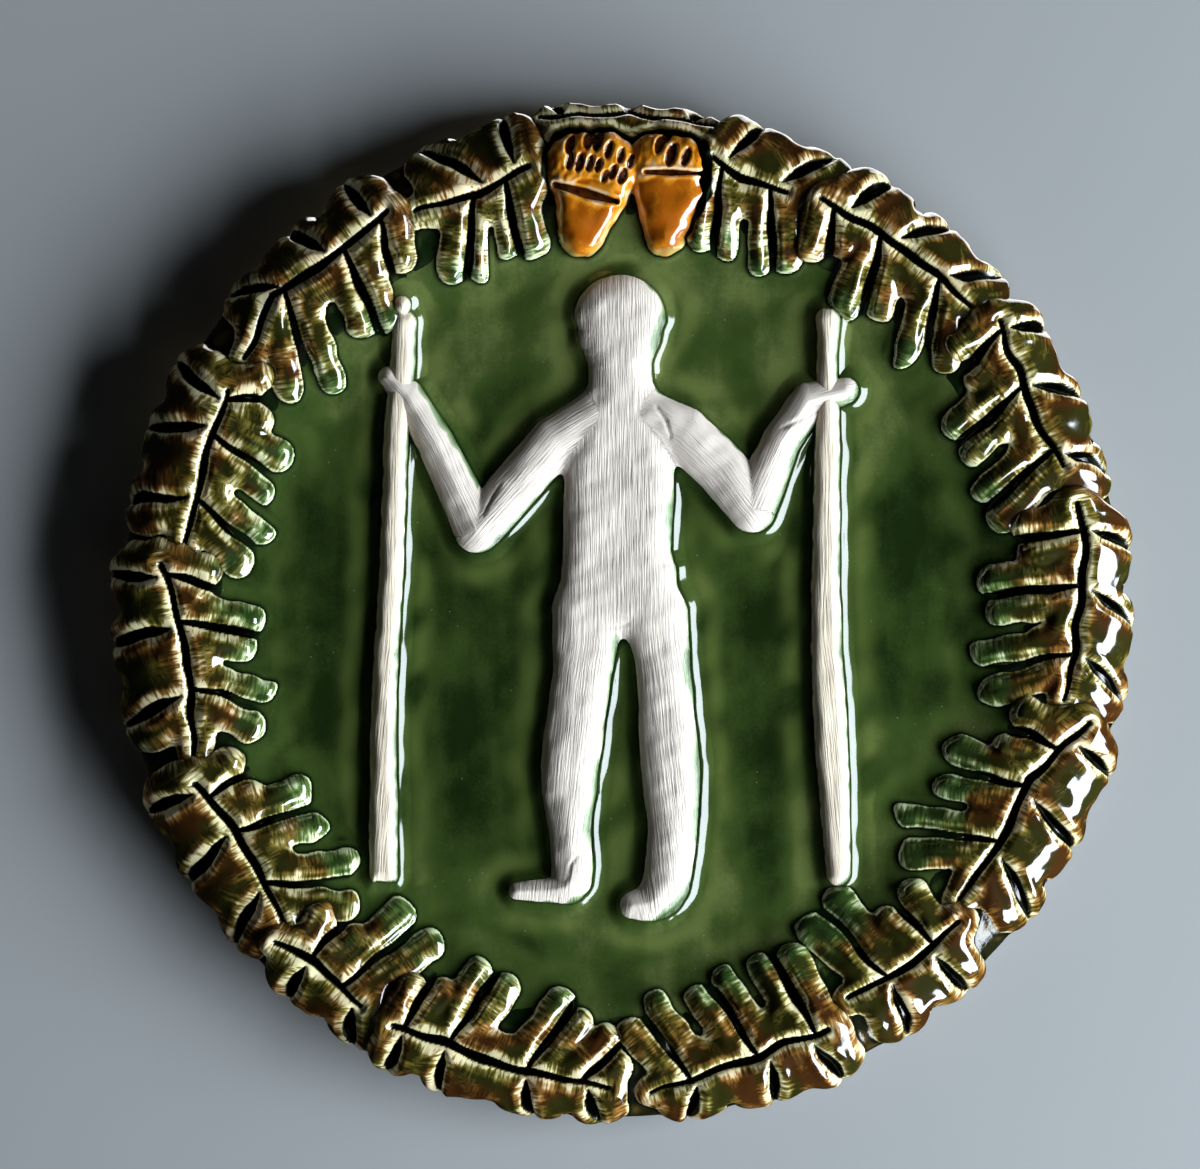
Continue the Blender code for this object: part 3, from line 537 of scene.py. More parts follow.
# %% The figure and both staves
dolls = {}
for side, rod in STAVES.items():
    ends = [FOOT_Z + height * UNIT for height in STAFF_ENDS[side]]
    knob = figure_bar(KNOB) if side == "left" else None
    dolls[f"staff_{side}"] = Doll([figure_bar(flowing(rod))], STAFF_T, STAFF_EDGE, 31 + len(side), ends, knob)
body_bars = [figure_bar(bar if "arm" in part else flowing(bar)) for part, bar in LIMBS.items()]
creases = [figure_bar(crease, 1.0) for crease in CREASES]
dolls["standing_figure"] = Doll(body_bars, FIGURE_T, FIGURE_EDGE, 41, creases=creases)
for name, doll in dolls.items():
    print(name, "has", len(doll.bars), "bars and a box of", np.round(doll.high - doll.low, 1).tolist(), "mm")

# %% [markdown]
# ## The acorns
# Each acorn is a cup and a nut, pressed round, with a deep cut where the nut leaves the cup. The cup's scales
# are jabs of a pointed tool. Sizes are shares of the band's width, and each jab is a small slanted oval dent,
# placed in millimetres from the middle of the field's top edge.

# %% Acorns
ACORNS = {
    "right": ([(0.243, 0.616, 0.228), (0.418, 0.601, 0.213)],
              [(0.347, 0.44, 0.287), (0.306, 0.116, 0.153)],
              [(0.168, 0.559, 0.02), (0.35, 0.556, 0.028), (0.571, 0.55, 0.014)]),
    "left": ([(-0.336, 0.601, 0.235), (-0.131, 0.59, 0.257)],
             [(-0.235, 0.399, 0.272), (-0.295, 0.127, 0.172)],
             [(-0.489, 0.47, 0.026), (-0.27, 0.41, 0.04), (-0.045, 0.357, 0.02)]),
}
JABS = {
    "right": [(8.5, 21.4), (7.2, 19.8), (9.4, 18.0), (12.2, 17.6)],
    "left": [(-10.0, 19.6), (-6.4, 20.7), (-4.65, 20.5), (-2.65, 18.8), (-0.3, 17.9), (1.6, 17.0),
             (-10.1, 16.9), (-8.3, 16.6), (-6.3, 16.5), (-4.65, 16.2),
             (-3.4, 14.2), (-1.9, 14.9), (-0.1, 14.2)],
}
JAB_W, JAB_H, JAB_SLANT, JAB_D = 0.9, 1.55, 0.28, 0.75
ACORN_T, CUP_RISE, CUT_D = 3.7, 0.35, 1.9
ACORN_EDGES = {"left": 3.6, "right": 5.4}


# %% One acorn
class Acorn:
    """Cup and nut with a cut between them, and rows of jabs in the cup."""

    def __init__(self, side, seed):
        bars = ([(x * BAND_W, FIELD_R + z * BAND_W, w * BAND_W) for x, z, w in part] for part in ACORNS[side])
        self.cup, self.nut, self.cut = bars
        self.edge, self.seed = ACORN_EDGES[side], seed
        self.jabs = np.array(JABS[side]) + (0, FIELD_R)

    def outside(self, p):
        """The cup and the nut, joined softly."""
        return blend(limb(p, self.cup)[0], limb(p, self.nut)[0], 1.0) + 0.1 * lumps(p, 4.0, self.seed)

    def groove(self, p):
        """Distance outside the cut between cup and nut."""
        return limb(p, self.cut)[0]

    def pits(self, p):
        """How deep in a jab each point is, 0 to 1: the nearest jab's slanted oval, with straight sides."""
        deep = np.zeros(len(p))
        for k, jab in enumerate(self.jabs):
            off = p - jab
            x, z = off[:, 0] - JAB_SLANT * off[:, 1], off[:, 1]
            size = 0.96 + 0.12 * math.sin(5.1 * k + self.seed) + (0.24 if k < 3 else 0)
            deep = np.maximum(deep, ease(np.hypot(x / (JAB_W * size), z / (JAB_H * size)), 1.1, 0.8))
        return deep

    def relief(self, p):
        """Height: a pressed cup and a lower nut, with a lipped cut between them, and the jabs."""
        d, cut = -self.outside(p), self.groove(p)
        on_cup = ease(limb(p, self.nut)[0] - limb(p, self.cup)[0], -0.6, 0.6)
        uneven = 0.08 * lumps(p, 6.0, self.seed + 1) + 0.05 * on_cup * lumps(p, 1.9, self.seed + 2)
        h = (ACORN_T + CUP_RISE * on_cup) * round_edge(d, self.edge) + uneven * ease(d, 0, 1.5)
        h = h + 0.22 * hump(cut, 0.35, 0.35) * ease(d, 0.3, 1.5)
        h = h - CUT_D * ease(-cut, -0.15, 0.5) * ease(d, 0, 1)
        return np.where(d > 0, np.maximum(h - JAB_D * self.pits(p) * ease(d, 0.2, 1), 0.2), 0.0)

    def grain(self, p):
        """Place across and along the nut."""
        _, along, side = limb(p, self.nut)
        return np.stack([side, along, np.full(len(p), float(self.seed))], 1)


# %% Both acorns
class AcornPair:
    """Both acorns pressed together: a soft join of their outlines, and the soft envelope of their heights."""

    def __init__(self, left, right):
        self.both, self.seed = (left, right), 5
        self.middle, self.reach = np.array([1.0, FIELD_R + 11.0]), 18.5

    def outside(self, p):
        return blend(self.both[0].outside(p), self.both[1].outside(p), 1.0)

    def groove(self, p):
        return np.minimum(*(acorn.groove(p) for acorn in self.both))

    def pits(self, p):
        return np.maximum(*(acorn.pits(p) for acorn in self.both))

    def cup(self, p):
        """1 on a cup and 0 on a nut: which of the two each point is deeper in."""
        cup = np.min([limb(p, acorn.cup)[0] for acorn in self.both], axis=0)
        nut = np.min([limb(p, acorn.nut)[0] for acorn in self.both], axis=0)
        return ease(nut - cup, -0.6, 0.6)

    def relief(self, p):
        left, right = (acorn.relief(p) for acorn in self.both)
        return np.where(self.outside(p) < 0, np.maximum(-blend(-left, -right, 0.9), 0.1), 0.0)

    def grain(self, p):
        return self.both[0].grain(p)


acorns = {"acorn_pair": AcornPair(Acorn("left", 60), Acorn("right", 61))}
shapes = {**{f"leaf_{n}": leaf for n, leaf in leaves.items()}, **acorns, **dolls}
print(len(shapes), "carved pieces")

# %% [markdown]
# ## A map of the whole relief
# Glaze is a liquid while it is fired. It drains off sharp edges, where the pale clay shows through, and
# gathers in cuts and round the foot of everything, where it turns almost black; that near-black is painted
# shade as well as pooled glaze. To know where it does so, the whole relief is drawn once on a fine grid.
# Blurring that map and comparing it with itself tells ridges from hollows.

# %% The empty map
CELL = 0.25     # millimetres between the map's points
HALF = 432      # cells from its middle to its edge
MENISCUS = (0.95, 1.9, 0.08)    # how high and how wide the glaze climbs at the figure's foot, and its lip
axis = CELL * np.arange(-HALF, HALF + 1)
top = np.zeros((len(axis), len(axis)))
away, from_doll = np.full_like(top, FAR), np.full_like(top, FAR)


def lattice(x, z):
    """All the points that have an x of one row and a z of the other."""
    gx, gz = np.meshgrid(x, z, indexing="ij")
    return np.stack([gx.ravel(), gz.ravel()], 1)


def patch(shape):
    """The map's rows and columns round one shape, and the points in them."""
    lo = np.clip(((shape.middle - shape.reach) / CELL).astype(int) + HALF, 0, len(axis) - 1)
    hi = np.clip(((shape.middle + shape.reach) / CELL).astype(int) + HALF + 1, 1, len(axis))
    return (slice(lo[0], hi[0]), slice(lo[1], hi[1])), lattice(axis[lo[0]:hi[0]], axis[lo[1]:hi[1]])


# %% Draw every shape on it
for shape in shapes.values():
    where, spots = patch(shape)
    top[where] = np.maximum(top[where], shape.relief(spots).reshape(top[where].shape))
    distance = shape.outside(spots).reshape(top[where].shape)
    away[where] = np.minimum(away[where], distance)
    if isinstance(shape, Doll):
        from_doll[where] = np.minimum(from_doll[where], distance)
print("map of", top.shape, "cells, highest relief", round(float(top.max()), 2), "mm")


# %% Glaze at each foot, ridges and hollows
def glaze_fillet(distance, high=0.55, wide=1.2, lip=0.3):
    """The glaze climbs at each foot: a nearly straight bank that ends softly, with a steep lip at the top."""
    bank = np.clip(1 - np.maximum(distance, 0) / wide, 0, 1)
    return high * bank ** 1.3 + lip * np.exp(-np.maximum(distance, 0) / 0.16)


def blurred(image, size):
    """A Gaussian blur of the map, done as a product in the frequency domain."""
    f0, f1 = np.fft.fftfreq(image.shape[0], CELL), np.fft.rfftfreq(image.shape[1], CELL)
    fade = np.exp(-2 * (math.pi * size) ** 2 * (f0[:, None] ** 2 + f1 ** 2))
    return np.fft.irfft2(np.fft.rfft2(image) * fade, image.shape)


surface = np.maximum(top, np.maximum(glaze_fillet(away), glaze_fillet(from_doll, *MENISCUS)))
ridge = surface - blurred(surface, 0.45)
hollow = blurred(surface, 0.8) - surface
crowd = blurred(top, 1.5)


print("ridges up to", round(float(ridge.max()), 2), "mm, hollows up to", round(float(hollow.max()), 2), "mm")


# %% Read a map anywhere
def read_map(image, p):
    """The map's value at any point: the mean of its four nearest cells, weighted by nearness."""
    x, z = (np.clip(p[:, k] / CELL + HALF, 0, 2 * HALF - 1e-6) for k in (0, 1))
    i, j = x.astype(int), z.astype(int)
    s, t = x - i, z - j
    return (image[i, j] * (1 - s) * (1 - t) + image[i + 1, j] * s * (1 - t)
            + image[i, j + 1] * (1 - s) * t + image[i + 1, j + 1] * s * t)


rim = np.array([[0.0, FIELD_R], [0.0, 88.0]])
print("heights at 12 o'clock:", np.round(read_map(surface, rim), 2).tolist(), "mm")

# %% [markdown]
# ## From a drawing to a closed mesh
# A piece of relief is a fine square grid over the shape. Cells outside the outline are dropped, and the
# corners that stick out are pulled back on to the outline, so that the edge is a smooth line and not a
# staircase. A skirt carries that edge down into the slab, and flat faces below close the piece.

# %% Grids trimmed to an outline
SKIRT = 0.9     # millimetres that a piece reaches down into the slab
NUDGE = 0.02    # millimetres between the points that give the outline's slope
pieces, count = {}, {}


def trimmed_grid(outside, middle, reach, step):
    """A grid's vertices and quads, with its outer corners moved on to the outline by Newton steps."""
    reach = np.broadcast_to(np.asarray(reach, float), 2)
    n = (2 * reach / step).astype(int) + 1
    p = lattice(*(middle[k] - reach[k] + step * np.arange(n[k]) for k in (0, 1)))
    inside = (outside(p) < 0).reshape(n)
    cell = inside[:-1, :-1] | inside[1:, :-1] | inside[1:, 1:] | inside[:-1, 1:]
    ids = np.arange(n[0] * n[1]).reshape(n)
    quads = np.stack([ids[:-1, :-1], ids[1:, :-1], ids[1:, 1:], ids[:-1, 1:]], -1)[cell]
    used = np.unique(quads)
    index = np.zeros(n[0] * n[1], int)
    index[used] = np.arange(len(used))
    quads, p, rim = index[quads], p[used], ~inside.ravel()[used]
    q, start = p[rim], p[rim]
    for _ in range(4):
        d = outside(q)
        slope = np.stack([outside(q + (NUDGE, 0)) - d, outside(q + (0, NUDGE)) - d], 1) / NUDGE
        q = q - d[:, None] * slope / np.maximum((slope ** 2).sum(axis=1), 0.25)[:, None]
        q = start + np.clip(q - start, -1.1 * step, 1.1 * step)
    p[rim] = q
    return p, quads, rim


# %% The loops round a grid's edge
def open_edges(quads):
    """The directed edges that belong to one face only."""
    ends = np.concatenate([quads[:, [k, (k + 1) % 4]] for k in range(4)])
    _, back, uses = np.unique(np.sort(ends, axis=1), axis=0, return_inverse=True, return_counts=True)
    return ends[uses[back.ravel()] == 1]


def loops_of(edges):
    """Rows of vertices that the open edges make, end to end."""
    follow = {}
    for a, b in edges.tolist():
        follow.setdefault(a, []).append(b)
    rows = []
    while follow:
        a = next(iter(follow))
        row = []
        while a in follow:
            row.append(a)
            b = follow[a].pop()
            if not follow[a]:
                del follow[a]
            a = b
        if len(row) > 2:
            rows.append(row)
    return rows


# %% Closed pieces that ride on the plaque
def add_piece(name, points, faces, smooth=None, **facts):
    """A mesh object from points in metres, riding on the plaque, with its facts as attributes."""
    mesh = bpy.data.meshes.new(name)
    mesh.from_pydata(points.tolist(), [], faces)
    for fact, values in facts.items():
        kind, field = ("FLOAT_COLOR", "color") if values.shape[1] == 4 else ("FLOAT_VECTOR", "vector")
        mesh.attributes.new(fact, kind, "POINT").data.foreach_set(field, values.astype(np.float32).ravel())
    mesh.polygons.foreach_set("use_smooth", np.ones(len(mesh.polygons), bool) if smooth is None else smooth)
    piece = bpy.data.objects.new(name, mesh)
    bpy.context.scene.collection.objects.link(piece)
    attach(piece, "root")
    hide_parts("plaque")
    return piece


def relief_piece(name, shape, step, facts, reach=None, skirt=SKIRT):
    """A closed carved piece: the trimmed grid raised to its relief, a skirt, and flat faces under it."""
    p, quads, rim = trimmed_grid(shape.outside, shape.middle, shape.reach if reach is None else reach, step)
    h = shape.relief(p)
    h[rim] = getattr(shape, "rim_h", 0.0)
    rows = loops_of(open_edges(quads))
    edge = sorted({v for row in rows for v in row})
    low = {v: len(p) + k for k, v in enumerate(edge)}
    under = wrap(p[edge], np.full(len(edge), -skirt))
    faces = quads.tolist()
    for row in rows:
        faces += [[b, a, low[a], low[b]] for a, b in zip(row, row[1:] + row[:1])]
        faces.append([low[v] for v in row])
    values = {key: np.concatenate([v, v[edge]]) for key, v in facts(p).items()}
    smooth = np.arange(len(faces)) < len(quads)
    count[name] = sum(len(f) - 2 for f in faces)
    return add_piece(name, np.concatenate([wrap(p, h), under]), faces, smooth, **values)


# %% [markdown]
# ## What the glaze knows about each point
# Four numbers go with each vertex of a leaf: how thin the glaze is, how deep it pools, how green it is and
# how rusty. Thin glaze follows the edges of the panels and the ridges of the map, and towards the left of the
# wreath the pale edges are made wider and paler as painted light. The pool number is pooled glaze and also
# painted shade, in the cuts, the hollows and beside the acorns. Green glaze ran in from the field over the
# tips of the inner lobes. Rust lies in soft patches, with more of it outwards and just inside each panel's
# pale edge.

# %% How near a group of shapes is
def distance_to(p, group):
    """The least distance outside any shape of a group, each asked only about the points near it."""
    best = np.full(len(p), FAR)
    for shape in group:
        near = (np.abs(p - shape.middle) < shape.reach + 4).all(axis=1)
        best[near] = np.minimum(best[near], shape.outside(p[near]))
    return best


# %% Leaf facts
def leaf_facts(leaf):
    """Thin glaze at edges, painted light on the left, pools and painted shade, green inwards, rust in
    patches.
    """
    def facts(p):
        d, cut, rho = -leaf.outside(p), leaf.groove(p), radius(p)
        panel = np.minimum(d, cut)
        uneven = patches(p, 5.0, leaf.seed + 21, 1.2)
        # Painted light: towards the left of the wreath the pale edges are made wider and a little paler.
        left = ease(p[:, 0] - 0.3 * p[:, 1], 90, -70)
        wide = (0.38 + 0.9 * uneven) * (1 + 0.4 * left)
        thin = 0.95 * np.exp(-np.maximum(panel - 0.12, 0) / wide) * ease(cut, -0.15, 0.1)
        thin = thin * (0.65 + 0.35 * uneven) + 1.9 * read_map(ridge, p)
        thin = np.clip(thin + 0.07 * lumps(p, 7.0, leaf.seed + 27) + 0.05 * left, 0, 1)
        # Pooled glaze and painted shade: dark in the cuts and in the map's hollows.
        pool = np.clip(np.maximum(ease(-cut, -0.12, 0.15), 1.2 * read_map(hollow, p) - 0.15), 0, 1)
        by_acorns = distance_to(p, acorns.values())
        thin = np.maximum(thin, hump(by_acorns, 1.5, 0.7) * ease(p[:, 1], 86.0, 91.0))
        # Painted shade as well as pooled glaze where a leaf meets the acorns.
        pool = np.maximum(pool, ease(by_acorns, 0.75, 0.2))
        green = ease(rho + 1.5 * lumps(p, 7.0, leaf.seed + 23), 79.5, 72.0)
        rust = 0.22 + 0.26 * lumps(p, 14.0, leaf.seed + 25) + 0.15 * ease(rho, 80, 98)
        rust = np.clip(rust + 0.3 * hump(panel, 1.5, 1.1), 0, 1) * (1 - 0.75 * green)
        return {"glaze": np.stack([thin, pool, green, rust], 1), "grain": leaf.grain(p)}
    return facts


# %% Acorn and slip facts
def acorn_facts(acorn):
    """Thin glaze at edges, rubbed lips and ridges, pools in cut and jabs, a green foot, and the cup."""
    def facts(p):
        d, cut, pits = -acorn.outside(p), acorn.groove(p), acorn.pits(p)
        edge = np.maximum(np.minimum(d - 0.2, np.maximum(cut, 0)), 0)
        rubbed = patches(p, 4.5, acorn.seed + 31, 1.5)
        thin = (0.3 + 0.55 * rubbed) * np.exp(-edge / (0.5 + 0.6 * rubbed))
        thin = thin + (0.05 + 0.4 * rubbed) * (pits * (1 - pits) * 4)
        thin = np.clip(thin + 0.7 * read_map(ridge, p), 0, 1)
        pool = np.clip(np.maximum(ease(-cut, -0.1, 0.3), pits), 0, 1)
        green = ease(d + 0.3 * lumps(p, 4.0, 5), 1.6, 0.2) * ease(p[:, 1], FIELD_R + 7.0, FIELD_R + 1.0)
        return {"glaze": np.stack([thin, pool, green, acorn.cup(p)], 1), "grain": acorn.grain(p)}
    return facts


def doll_facts(doll):
    """How much green glaze laps each point, and whether it is on a staff. The other two numbers are spare."""
    def facts(p):
        d = -doll.outside(p)
        faces_right = ease(doll.outside(p + (0.6, -0.25)) + d, 0.1, 0.6)
        spare = np.zeros(len(p))
        staff = spare + (len(doll.bars) == 1)
        lap = (0.5 + 2.8 * patches(p, 17.0, doll.seed + 8, 0.9) ** 2) * (1 - 0.7 * staff)
        foot = ease(d + 0.1 * lumps(p, 4.0, doll.seed + 9), 0.5 + lap * faces_right, 0.05)
        return {"glaze": np.stack([foot, staff, spare, spare], 1), "grain": doll.grain(p)}
    return facts


# %% Raise the leaves, acorns, staves and figure
LEAF_STEP, ACORN_STEP, DOLL_STEP, FIELD_STEP, BANK_STEP = 0.28, 0.22, 0.35, 0.54, 0.36
for name, leaf in leaves.items():
    pieces[f"leaf_{name}"] = relief_piece(f"oak_leaf_{name}", leaf, LEAF_STEP, leaf_facts(leaf))
for name, acorn in acorns.items():
    pieces[name] = relief_piece(name, acorn, ACORN_STEP, acorn_facts(acorn))
for name, doll in dolls.items():
    pieces[name] = relief_piece(name, doll, DOLL_STEP, doll_facts(doll), (doll.high - doll.low) / 2)
print("triangles:", count)

# %% [markdown]
# ## The field and the slab
# The field is a pool of green glaze. Its surface is not flat: it climbs at every foot and lies in slow waves,
# and these bend the window's reflection into the bright lines that run beside the figure. It is a fine disc
# on the slab, and the slab itself is a turned shape with glaze banks on its shoulder, a bare back and an
# undercut notch to hang it by.

# %% Field of green glaze
FIELD_EDGE = FIELD_R + 9.4
BED_W = 3.3         # how far the bank of glaze reaches from the figure or a staff
DARK_SEED = 3325    # the dark brushed patches that come nearest to the photograph's


def waves(p):
    """Slow swells of the glaze's surface: the same for the field and for the banks that stand on it."""
    return 0.05 * lumps(p, 16.0, 5) + 0.018 * lumps(p, 6.5, 6)


def uncrowded(p):
    """1 on open ground, and 0 where the relief stands close on both sides, as in the gaps between leaves."""
    return 1 - ease(read_map(crowd, p), 0.8, 1.5)


class Field:
    """The disc of glaze that the figure, the staves and the leaves' tips stand in."""

    middle, reach, rim_h = np.zeros(2), FIELD_EDGE + 1, -0.3

    def outside(self, p):
        return radius(p) - FIELD_EDGE

    def relief(self, p):
        """Height: swells and banks at the leaves' feet, sunk under the dolls' own banks and the leaves."""
        rho = radius(p)
        at_leaf, at_acorn = distance_to(p, leaves.values()), distance_to(p, acorns.values())
        bank = np.maximum(glaze_fillet(at_leaf, 0.2, 0.9, 0.1), glaze_fillet(at_acorn, 0.55, 0.85, 0.1))
        swell = waves(p) * ease(rho, FIELD_EDGE - 2, FIELD_EDGE - 5)
        sunk = 0.45 * ease(distance_to(p, dolls.values()), 1.2, 0.6)
        sunk = np.maximum(sunk, 0.85 * ease(-at_leaf, 0.2, 1.1))
        return bank * uncrowded(p) + swell - sunk - 0.3 * ease(rho, FIELD_EDGE - 3.5, FIELD_EDGE)


# %% Glaze banked round the figure and the staves
class Bed:
    """The bank of glaze round one doll, reaching a little under it."""

    def __init__(self, doll):
        self.doll, self.middle, self.seed, self.rim_h = doll, doll.middle, doll.seed, -0.16

    def outside(self, p):
        return self.doll.outside(p) - BED_W

    def relief(self, p):
        """Height: the doll's bank on the field's swells, dipping below the field at its own outer edge."""
        d = self.doll.outside(p)
        high, wide, lip = MENISCUS
        high = high * (1 + 0.05 * lumps(p, 18.0, self.seed + 5))
        wide = wide * (1 + 0.07 * lumps(p, 14.0, self.seed + 6))
        bank = glaze_fillet(d, high, wide, lip) * (d > -0.8)
        return waves(p) + 0.015 + bank - 0.12 * ease(d, BED_W - 1.3, BED_W)


def field_facts(p):
    """Pooled glaze and painted shade at the feet, a paler band a few millimetres off, and brushed patches
    between.
    """
    d = read_map(away, p)
    by_doll = ease(read_map(from_doll, p) - d, 1.0, 0.0)
    # Pooled glaze and painted shade: nearly black at every foot, a little less beside the figure and the
    # staves.
    foot = (1 - 0.5 * by_doll) * np.exp(-np.maximum(d, 0) / (0.75 - 0.45 * by_doll))
    # Painted shade where the relief stands close on both sides, as in the gaps between leaves.
    foot = np.maximum(foot, ease(read_map(crowd, p), 0.9, 1.7))
    halo = (0.35 + 0.65 * by_doll) * hump(d, 3.8, 2.1) * np.clip(0.7 + 0.4 * lumps(p, 12.0, 83), 0, 1.0)
    ends = 0.42 * ease(p[:, 1], 16, 56) + 0.2 * ease(-p[:, 1], 30, 62) + 0.2 * ease(p[:, 0] - p[:, 1], 50, 90)
    upright = 0.09 * np.tanh(1.5 * lumps(p * (1, 0.3), 11.0, 86))
    light = np.clip(0.24 + 0.06 * lumps(p, 19.0, 82) + upright + 0.3 * halo + ends, 0, 1)
    dark = ease(lumps(p, 26.0, DARK_SEED), -0.8, 2.4) * ease(d, 2.0, 8.0)
    return {"glaze": np.stack([light, foot, dark, halo], 1)}


# %% Raise the field and its banks
pieces["field"] = relief_piece("green_field", Field(), FIELD_STEP, field_facts, skirt=RING_RISE + 0.75)
for name, doll in dolls.items():
    half = (doll.high - doll.low) / 2
    pieces[f"field_{name}"] = relief_piece(f"glaze_bank_{name}", Bed(doll), BANK_STEP, field_facts, half)
print("field triangles:", count["green_field"])

# %% Slab with its shoulder, side, back and notch
NOTCH_W, NOTCH_H, NOTCH_D, NOTCH_UNDER, NOTCH_FALL = 14.0, 8.0, 6.0, 2.5, 27.6
NOTCH_Z = SLAB_R - NOTCH_FALL - NOTCH_H / 2
TURNS, RING_STEP = 620, 0.55
HIDDEN_RINGS = (1.0, 30.0, 58.0, 64.0, 68.0, 71.5, 75.0)    # these lie under the field
turn = np.linspace(0, 2 * math.pi, TURNS, endpoint=False)
AROUND = np.stack([np.sin(turn), np.cos(turn)], 1)


# %% Rings of the slab
def face_ring(rho):
    """A ring of the face or wall, with facts: glaze tone, pooled glaze and painted shade at feet, green, bare
    clay.
    """
    p = AROUND * rho
    d = read_map(away, p)
    sunk = -0.75 * ease(rho, FIELD_EDGE - 1.5, FIELD_EDGE - 6.0)
    under = 0.8 * ease(-d, 0.2, 1.1) * ease(rho, RHO_END - 1.5, RHO_END - 4.0)
    climb = glaze_fillet(d, 0.35, 1.0, 0.1) * uncrowded(p) * ease(rho, FIELD_EDGE - 2, FIELD_EDGE + 2)
    fade = ease(rho, RHO_END - 0.6, RHO_END - 3.0)
    h = (climb + 0.06 * lumps(p, 9.0, 90)) * fade + np.minimum(sunk, -under)
    light = np.clip(0.3 + 0.3 * lumps(p, 7.0, 91), 0, 1)
    green = np.full(TURNS, ease(rho, 92.0, 84.0))
    bare = np.full(TURNS, ease(rho, RHO_END - 2.2, RHO_END - 0.8))
    # The foot number paints shade as well as pooled glaze at the leaves' feet.
    return wrap(p, h), np.stack([light, np.exp(-np.maximum(d, 0) / 1.2), green, bare], 1)


def back_ring(r):
    """A ring of the flat back, sunk and pushed up where it crosses the notch, with the same facts."""
    p = AROUND * r
    across, up = NOTCH_W / 2 - np.abs(p[:, 0]), NOTCH_H / 2 - np.abs(p[:, 1] - NOTCH_Z)
    deep = ease(across, -0.25, 0.35) * ease(up, -0.25, 0.35)
    rough = 0.05 * lumps(p, 6.0, 95) * ease(r, BACK_R - 1, BACK_R - 4)
    y = -NOTCH_D * deep - 0.12 - np.abs(rough)
    facts = np.tile([0.4, 0.0, 0.0, 1.0], (TURNS, 1))
    # Painted shade in the notch, which the bare clay's colour covers.
    facts[:, 1] = 0.6 * deep
    return np.stack([p[:, 0], y, p[:, 1] + NOTCH_UNDER * deep], 1) / 1000, facts


# %% Join the rings
on_face = np.arange(FIELD_R + 6.5, RHO_END - 0.05, RING_STEP)
by_notch = np.arange(NOTCH_Z + 8.5, NOTCH_Z - 8.5, -RING_STEP)
made = [face_ring(rho) for rho in [*HIDDEN_RINGS, *on_face, RHO_END]]
made += [back_ring(r) for r in [BACK_R - 0.7, 84.0, *by_notch, 40.0, 20.0, 1.0]]
ring_points, ring_facts = (np.concatenate(part) for part in zip(*made))
ring_points[:, 1] = np.minimum(ring_points[:, 1], 0.0)
ids = np.arange(len(made) * TURNS).reshape(len(made), TURNS)
after = np.roll(ids, -1, axis=1)
walls = np.stack([ids[:-1], after[:-1], after[1:], ids[1:]], -1).reshape(-1, 4).tolist()
caps = [ids[0][::-1].tolist(), ids[-1].tolist()]
pieces["slab"] = add_piece("slab", ring_points, walls + caps, glaze=ring_facts)
count["slab"] = 2 * len(walls) + 2 * (TURNS - 2)
print("slab triangles:", count["slab"], "of", sum(count.values()), "in all")


# %% Turn any mesh that faces inwards
def signed_volume(mesh):
    """Six times the volume under all triangles: positive where the faces point outwards."""
    mesh.calc_loop_triangles()
    points = np.zeros(len(mesh.vertices) * 3)
    mesh.vertices.foreach_get("co", points)
    corners = np.zeros(len(mesh.loop_triangles) * 3, int)
    mesh.loop_triangles.foreach_get("vertices", corners)
    a, b, c = points.reshape(-1, 3)[corners.reshape(-1, 3)].transpose(1, 0, 2)
    return float(np.einsum("ij,ij->i", a, np.cross(b, c)).sum())


for piece in pieces.values():
    if signed_volume(piece.data) < 0:
        piece.data.flip_normals()
        print(piece.name, "was turned")

# %% [markdown]
# ## Shader maths in Python
# A glaze is a sum of small rules, and rules read best as expressions. One class wraps a socket and adds a
# Math node for each operator, and one method adds any other node from its type, settings and inputs.


# %% Sockets as Python values
class Tone:
    """A socket of a material that can be added, multiplied and so on."""

    def __init__(self, tree, socket):
        self.tree, self.socket = tree, socket

    def join(self, slot):
        """Feed an input of a node with this socket."""
        self.tree.links.new(self.socket, slot)

    def node(self, kind, settings=None, out=0, **inputs):
        """Any node, with its settings, and its inputs by name, with _ for spaces, or by number after an i."""
        made = self.tree.nodes.new(kind)
        for key, value in (settings or {}).items():
            setattr(made, key, value)
        feed(made, {int(key[1:]) if key[1:].isdigit() else key: value for key, value in inputs.items()})
        return Tone(self.tree, made.outputs[out])

    def math(self, operation, *values):
        numbered = {f"i{k}": value for k, value in enumerate(values)}
        return self.node("ShaderNodeMath", {"operation": operation}, **numbered)

    def __add__(self, other):
        return self.math("ADD", self, other)

    def __sub__(self, other):
        return self.math("SUBTRACT", self, other)

    def __rsub__(self, other):
        return self.math("SUBTRACT", other, self)

    def __mul__(self, other):
        return self.math("MULTIPLY", self, other)

    __radd__, __rmul__ = __add__, __mul__

    def held(self):
        """Kept between 0 and 1."""
        return self.math("MINIMUM", self.math("MAXIMUM", self, 0.0), 1.0)

    def sway(self, size):
        """A noise about its middle: from -size / 2 to size / 2."""
        return (self - 0.5) * size

    def step(self, low, high):
        """0 below low, 1 above high, smooth between."""
        smooth = {"interpolation_type": "SMOOTHSTEP"}
        return self.node("ShaderNodeMapRange", smooth, Value=self, From_Min=low, From_Max=high)

    def mix(self, a, b):
        """Colour a where this value is 0, and colour b where it is 1."""
        a, b = (v if isinstance(v, Tone) else (*v, 1) for v in (a, b))
        return self.node("ShaderNodeMix", {"data_type": "RGBA"}, 2, i0=self, i6=a, i7=b)


def feed(node, values):
    """Each input gets its value: a link from a Tone, or a constant."""
    for key, value in values.items():
        slot = node.inputs[key if isinstance(key, int) else key.replace("_", " ")]
        if isinstance(value, Tone):
            value.join(slot)
        else:
            slot.default_value = value


